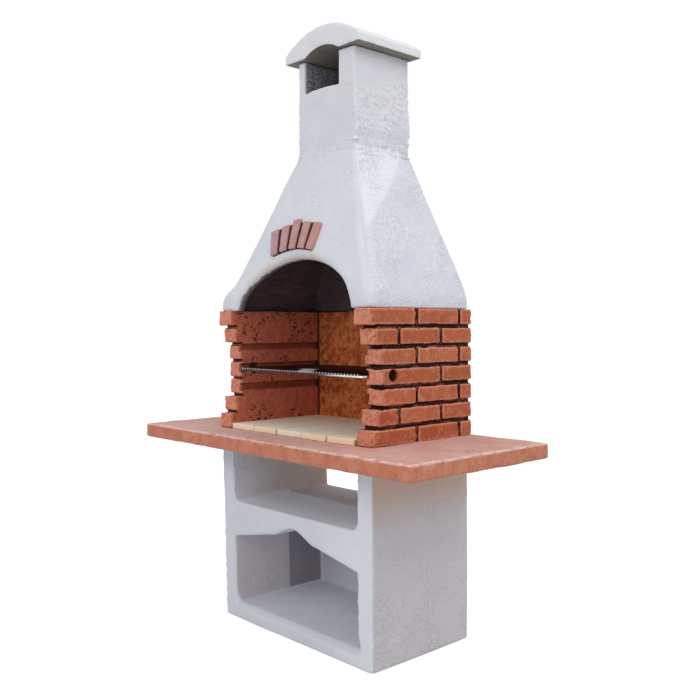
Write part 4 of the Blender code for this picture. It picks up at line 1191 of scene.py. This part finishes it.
def make_chimney():
    """A rounded square tube, its foot flared like the hood's neck, less a notch whose sill is a
    shallow arc."""
    low, high = chimney_low, chimney_high
    inner_low, inner_high = low + CHIMNEY_WALL, high - CHIMNEY_WALL
    axes = x, y, z = grid_axes(low, high, CHIMNEY_PITCH)
    outside = overlap(CHIMNEY_EDGE, *coated(hood_faces(x, y, z), z))
    inside = overlap(CHIMNEY_EDGE, between(x, inner_low[0], inner_high[0]),
                     between(y, inner_low[1], inner_high[1]))
    from_outlet = np.abs(x + OUTLET_OFFSET)
    sill = high[2] - OUTLET_HEIGHT + SILL_RISE * (1 - np.minimum(2 * from_outlet / OUTLET_WIDTH, 1) ** 2)
    notch = np.maximum(from_outlet - OUTLET_WIDTH / 2, np.maximum(sill - z, y - low[1] - NOTCH_DEPTH))
    shell = overlap(OUTLET_EDGE, np.maximum(outside, -inside), z - high[2])
    field = overlap(OUTLET_EDGE, np.maximum(shell, low[2] - NECK_OVERLAP - z), -notch)
    points, quads, normals = zero_surface(field, axes)
    x, y, z = points.T
    skin = overlap(CHIMNEY_EDGE, between(x, low[0], high[0]), between(y, low[1], high[1]))
    in_notch = np.abs(x + OUTLET_OFFSET) < OUTLET_WIDTH / 2 + 0.001
    in_notch &= (z > high[2] - OUTLET_HEIGHT - 0.001) & (y < low[1] + NOTCH_DEPTH)
    soot = np.where(in_notch, 0.37 * fade(0.003, 0.008, -skin),
                    (0.38 + 0.62 * fade(high[2] - 0.11, high[2] - 0.15, z)) * fade(0.020, 0.028, -skin))
    side = fade(0.4, 0.9, normals[:, 0] * np.sign(x)) * (1 - soot)
    border = high[2] - 0.125 + 0.06 * (y - low[1]) / (high[1] - low[1]) + 0.012 * noise(points, 0.03, 73)
    upper = fade(border + 0.02, border - 0.02, z)
    turned = np.column_stack((x, (y + z) / math.sqrt(2), (y - z) / math.sqrt(2)))
    folded = 1 - np.abs(noise(turned, (0.011, 0.009, 0.019), 71, 2))
    relief = (0.0032 * fade(0.60, 1.0, folded) * upper - 0.0008) * side * fade(-0.002, 0.012, z - low[2])
    swollen = (x > 0) * side * fade(high[2] - 0.10, low[2] + 0.03, z) * fade(-0.006, 0.036, z - low[2])
    waves = 0.0010 * noise(points, 0.09, 72, 1) + 0.0004 * noise(points, 0.03, 74, 1)
    change = waves * fade(0.0, 0.015, z - low[2]) + relief + CHIMNEY_SWELL * swollen
    change += neck_ripples(points, normals) * (soot < 0.1)
    change -= SEAM_SINK * fade(-0.5 * NECK_OVERLAP, -NECK_OVERLAP, z - low[2])
    plain = (soot < 0.1) * fade(low[2], low[2] + 0.12, z)
    points += normals * change[:, None]
    # Painted light: the upper part of the rough sides is painted paler over its relief.
    shaft = make_piece("chimney_casting", points, quads, white_render, soot=soot, wash=0.12 * plain,
                       fresh=0.15 * plain + 0.4 * side * upper,
                       rough=0.12 + side * (0.08 + 0.18 * upper) + 0.3 * (normals[:, 1] > 0.8))
    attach(shaft, "masonry")
    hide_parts("chimney_shaft")


make_chimney()


# The cap is a smooth casting with a barrel top and a shallow vault through its underside, laid on
# the chimney. Its underside is bare concrete, painted a darker grey-brown wherever it faces down as
# shade, and stained by smoke.
CAP_SIDE_HEIGHT = 0.026
VAULT_HALF_WIDTH = 0.078
VAULT_RISE = 0.0225
CAP_EDGE = 0.004
CAP_PROUD = 0.003
CAP_PROUD_LEFT = 0.009
CAP_SPACING = 0.005


def build_cap_render():
    """Smooth pale grey casting, with a darker grey-brown underside: painted shade and a smoke stain."""
    material, shader, place = open_material("cap_render", 0.82)
    grit = place.group(cast_grit, Scale=0.7, Pits=0.04)
    mottle = grit["Mottle"].ramp(0.3, 0.7)
    colour = mix(mottle, (238, 239, 240), (230, 231, 232))
    # Painted shade on the downward faces, with the smoke stain.
    colour = mix(place.mask("under"), colour, mix(mottle, (150, 142, 130), (122, 114, 106)))
    colour = mix(grit["Pit"] * 0.4, colour, (150, 146, 140))
    finish_shader(shader, colour, grit["Height"], 0.5, 0.0006)
    return material


def circle_height(across, half, rise):
    """Height over its chord of a circular arc with that half chord and rise, 0 past its ends."""
    radius = (half ** 2 + rise ** 2) / (2 * rise)
    return np.maximum(np.sqrt(np.maximum(radius ** 2 - across ** 2, 0)) - radius + rise, 0)


def make_cap():
    """A rounded flat block whose height is stretched between the vault below and the barrel above."""
    low, high = map(np.array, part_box("chimney_cap"))
    middle = (low[0] + high[0]) / 2
    low[0] -= CAP_PROUD_LEFT
    high[0] += CAP_PROUD
    flat_low, flat_high = np.array((*low[:2], 0.0)), np.array((*high[:2], CAP_SIDE_HEIGHT))
    points, quads, near_edge = rounded_block(flat_low, flat_high, CAP_SPACING, CAP_EDGE, CAP_EDGE)
    across = points[:, 0] - middle
    across = np.where(across < 0, across * (high[0] - middle) / (middle - low[0]), across)
    share = points[:, 2] / CAP_SIDE_HEIGHT
    vault = circle_height(across, VAULT_HALF_WIDTH, VAULT_RISE)
    barrel = circle_height(across, high[0] - middle, high[2] - low[2] - CAP_SIDE_HEIGHT)
    points[:, 2] += low[2] + vault * (1 - share) + barrel * share
    normals = point_normals(points, quads)
    change = 0.0006 * noise(points, 0.06, 82) - 0.0005
    change -= 0.0022 * near_edge * fade(0.3, 0.8, noise(points, 0.022, 81, 2))
    points += normals * change[:, None]
    # Painted shade: every face that looks down is painted darker grey-brown.
    cap = make_piece("chimney_cap_casting", points, quads, build_cap_render(),
                     under=fade(0.55, 0.85, -normals[:, 2]))
    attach(cap, "masonry")
    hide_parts("chimney_cap")


make_cap()


# The grill is a rod bent into a rectangle that runs in the middle grooves, with forty-odd thin
# wires welded across it from front to rear over three cross rods. The plating is brown, partly from
# the fire and partly as painted dark reflection of the fire box, but for a pale patch and the
# wires' front tips, which are painted highlights.
GRILL_ROD = 0.0035
GRILL_CORNER = 0.020
FRONT_ROD_STEPS = 26
WIRE_RADIUS = 0.0023
WIRE_PITCH = 0.0137
CROSS_RODS = 3
CROSS_ROD_RADIUS = 0.0025
WELD_BITE = 0.0008
ROD_SIDES = 12
WIRE_SIDES = 8
BRIGHT_TIP = 0.0030
RUBBED_REACH = 0.115
RUBBED_START = 0.012
RUBBED_END = 0.078


def build_steel():
    """Bright plated steel, brown where one mask says so, partly heat browning and partly painted dark
    reflection, and a nearly matte pale grey where another does, as a painted highlight."""
    material, shader, place = open_material("chrome_steel", 0.5, 0.5)
    patch = place.noise(60.0, 3.0)
    # Painted reflection: the brown stands partly for heat browning and partly for the dark red of the fire
    # box reflected at a grazing angle.
    burnt = place.mask("burnt") * patch.ramp(0.2, 0.5, 0.8, 1.0)
    clean = mix(patch.ramp(0.45, 0.75, 0.0, 0.5), (240, 240, 242), (206, 200, 192))
    browned = mix(patch.ramp(0.4, 0.7), (74, 46, 43), (94, 64, 58))
    mix(burnt, clean, browned).feed(shader, "Base Color")
    (burnt * 0.22 + patch.ramp(0.3, 0.7, 0.14, 0.28)).feed(shader, "Roughness")
    # Painted highlight: where that mask says so the steel is nearly matte, so its pale colour shows as if
    # lit.
    place.mask("dull").math("MULTIPLY_ADD", -0.85, 1.0).feed(shader, "Metallic")
    return material


def join_rings(number):
    """Quads between each circle of points and the next, from their numbers."""
    low, high = number[:-1], number[1:]
    return np.stack((low, high, np.roll(high, -1, axis=1), np.roll(low, -1, axis=1)), axis=-1).reshape(-1, 4)


def tube_round(path, radius, sides):
    """A tube carried round a closed path in a level plane: at each point, a circle across it."""
    along = np.roll(path, -1, axis=0) - np.roll(path, 1, axis=0)
    along /= np.linalg.norm(along, axis=1)[:, None]
    out = np.column_stack((along[:, 1], -along[:, 0], 0 * along[:, 0]))
    angles = 2 * math.pi * np.arange(sides)[:, None] / sides
    points = path[:, None] + radius * (out[:, None] * np.cos(angles) + np.sin(angles) * (0, 0, 1))
    number = np.arange(len(path) * sides).reshape(len(path), sides)
    return points.reshape(-1, 3), join_rings(np.concatenate((number, number[:1])))[:, ::-1]


def straight_rod(start, end, radius, sides, stops=()):
    """A rod with rounded ends: a circle whose radius follows a quarter circle near each end, more
    circles at the stops between, and each end closed by strips of quads across its last circle."""
    start, end = np.array(start, float), np.array(end, float)
    length = np.linalg.norm(end - start)
    along = (end - start) / length
    level = np.cross(along, (0, 0, 1))
    turns = np.radians((75, 50, 25))
    near, narrow = radius * (1 - np.sin(turns)), radius * np.cos(turns)
    places = np.concatenate((near, (radius, *stops, length - radius), length - near[::-1]))
    widths = np.concatenate((narrow, np.full(len(stops) + 2, radius), narrow[::-1]))
    angles = 2 * math.pi * np.arange(sides)[:, None] / sides
    ring = np.cos(angles) * level + np.sin(angles) * (0, 0, 1)
    points = (start + places[:, None, None] * along + widths[:, None, None] * ring).reshape(-1, 3)
    number = np.arange(len(points)).reshape(len(places), sides)
    first = np.arange(sides // 2 - 1)
    cap = np.stack((first, first + 1, sides - 2 - first, sides - 1 - first), axis=-1)
    quads = np.concatenate((join_rings(number), number[0][cap], number[-1][cap][:, ::-1]))
    if np.sum(point_normals(points, quads) * (points - (start + end) / 2)) < 0:
        quads = quads[:, ::-1]
    return points, quads


def make_grill():
    """The frame rod, and the wires and cross rods gathered into one mesh."""
    steel = build_steel()
    low, high = map(np.array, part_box("grill_frame"))
    grid_low, grid_high = map(np.array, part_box("grill_grid"))
    inset = GRILL_ROD + GRILL_CORNER
    (left, front), (right, rear) = low[:2] + inset, high[:2] - inset
    path = []
    for cx, cy, start in ((right, front, -90), (right, rear, 0), (left, rear, 90), (left, front, 180)):
        path += arc_points(cx, cy, GRILL_CORNER, start, start + 90, 8)
    path += [(x, low[1] + GRILL_ROD) for x in np.linspace(left, right, FRONT_ROD_STEPS)[1:-1]]
    path = np.column_stack((np.array(path), np.full(len(path), (low[2] + high[2]) / 2)))
    points, quads = tube_round(path, GRILL_ROD, ROD_SIDES)
    # The front rod is brown, as heat browning and painted dark reflection, but for its right part, left clean
    # to reflect.
    grill_frame = make_piece("grill_frame_rod", points, quads, steel,
                             burnt=1 - 0.9 * fade(0.10, 0.22, points[:, 0]))
    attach(grill_frame, "grill")
    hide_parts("grill_frame")
    level = grid_high[2] - WIRE_RADIUS
    wires = int((high[0] - low[0] - 2 * GRILL_CORNER) / WIRE_PITCH) + 1
    stops = (BRIGHT_TIP, BRIGHT_TIP + 0.001, *np.linspace(0.01, 0.13, 7))
    rods = []
    for x in (np.arange(wires) - (wires - 1) / 2) * WIRE_PITCH:
        rods.append(straight_rod((x, grid_low[1], level), (x, grid_high[1], level), WIRE_RADIUS,
                                 WIRE_SIDES, stops))
    level -= WIRE_RADIUS + CROSS_ROD_RADIUS - WELD_BITE
    for y in np.linspace(grid_low[1], grid_high[1], CROSS_RODS + 2)[1:-1]:
        rods.append(straight_rod((grid_low[0], y, level), (grid_high[0], y, level), CROSS_ROD_RADIUS,
                                 ROD_SIDES))
    offsets = np.cumsum([0] + [len(points) for points, _ in rods[:-1]])
    points = np.concatenate([points for points, _ in rods])
    quads = np.concatenate([quads + offset for (_, quads), offset in zip(rods, offsets)])
    from_front = points[:, 1] - grid_low[1]
    # Painted highlight: a slanting patch of wires near the front and every wire's front tip are matte pale,
    # so that they look lit.
    rubbed = (between(points[:, 0] + from_front, RUBBED_START, RUBBED_END) < 0) & (from_front < RUBBED_REACH)
    dull = np.where(rubbed | (from_front < BRIGHT_TIP), 1.0, 0.0)
    grid = make_piece("grill_wires", points, quads, steel, burnt=1 - dull, dull=dull)
    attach(grid, "grill")
    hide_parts("grill_grid")


make_grill()


# The studio: a pale floor that keeps the shadow, a white surround, and two large soft lamps, one
# high up at the right and one in front.
FLOOR_SIZE = 60.0
FLOOR_GLOW = 0.63
WORLD_STRENGTH = 0.69


def seen_directly(tree):
    """1 for rays from the camera or by way of a mirror or glass, 0 for those that light a thing."""
    rays = add_node(tree, "LightPath").outputs
    camera, glossy, clear = (Signal(tree, rays[f"Is {kind} Ray"])
                             for kind in ("Camera", "Glossy", "Transmission"))
    return camera.math("MAXIMUM", glossy.math("MAXIMUM", clear))


floor_mesh = bpy.data.meshes.new("floor")
corners = [(x * FLOOR_SIZE, y * FLOOR_SIZE, 0) for x, y in ((-1, -1), (1, -1), (1, 1), (-1, 1))]
floor_mesh.from_pydata(corners, [], [(0, 1, 2, 3)])
floor = bpy.data.objects.new("floor", floor_mesh)
bpy.context.scene.collection.objects.link(floor)
floor_material, shader, _ = open_material("pale_floor", 1.0, 0.0)
shader.inputs["Base Color"].default_value = (0.68, 0.68, 0.70, 1)
shader.inputs["Emission Color"].default_value = (1, 1, 1, 1)
(seen_directly(floor_material.node_tree) * FLOOR_GLOW).feed(shader, "Emission Strength")
floor_mesh.materials.append(floor_material)

world = bpy.data.worlds.new("studio")
bpy.context.scene.world = world
world.use_nodes = True
background = world.node_tree.nodes["Background"]
seen = seen_directly(world.node_tree)
mix(seen, (0.95, 0.97, 1.0, 1), (1, 1, 1, 1)).feed(background, "Color")
seen.math("MULTIPLY_ADD", 1 - WORLD_STRENGTH, WORLD_STRENGTH).feed(background, "Strength")


def add_lamp(name, place, target, size, power, colour):
    """A square area lamp that faces a target."""
    light = bpy.data.lights.new(name, "AREA")
    light.shape = "SQUARE"
    light.size = size
    light.energy = power
    light.color = colour
    lamp = bpy.data.objects.new(name, light)
    aim = np.array(target, float) - np.array(place, float)
    aim /= np.linalg.norm(aim)
    lamp.location = place
    lamp.rotation_euler = (math.acos(-aim[2]), 0, math.atan2(aim[0], -aim[1]) + math.pi)
    bpy.context.scene.collection.objects.link(lamp)


add_lamp("right_lamp", (2.7, 0.3, 4.2), (0, 0, 0.9), 2.6, 44, (1.0, 0.99, 0.97))
add_lamp("front_lamp", (0.5, -4.2, 3.4), (0, 0, 0.8), 2.4, 42, (1.0, 0.985, 0.965))

FOCAL_PIXELS = 847.7
FRAME_PIXELS = 696
CAMERA_PLACE = (1.9982, -1.7511, 0.9579)
CAMERA_TURN = 47.339
CAMERA_PITCH = 1.492
CAMERA_ROLL = -0.212
camera_data = bpy.data.cameras.new("camera")
camera_data.sensor_width = 36.0
camera_data.lens = 36.0 * FOCAL_PIXELS / FRAME_PIXELS
camera_data.clip_end = 200.0
camera = bpy.data.objects.new("camera", camera_data)
camera.location = CAMERA_PLACE
camera.rotation_mode = "XYZ"
camera.rotation_euler = (math.radians(90 - CAMERA_PITCH), math.radians(-CAMERA_ROLL),
                         math.radians(CAMERA_TURN))
bpy.context.scene.collection.objects.link(camera)
bpy.context.scene.camera = camera
bpy.context.scene.view_settings.view_transform = "Standard"
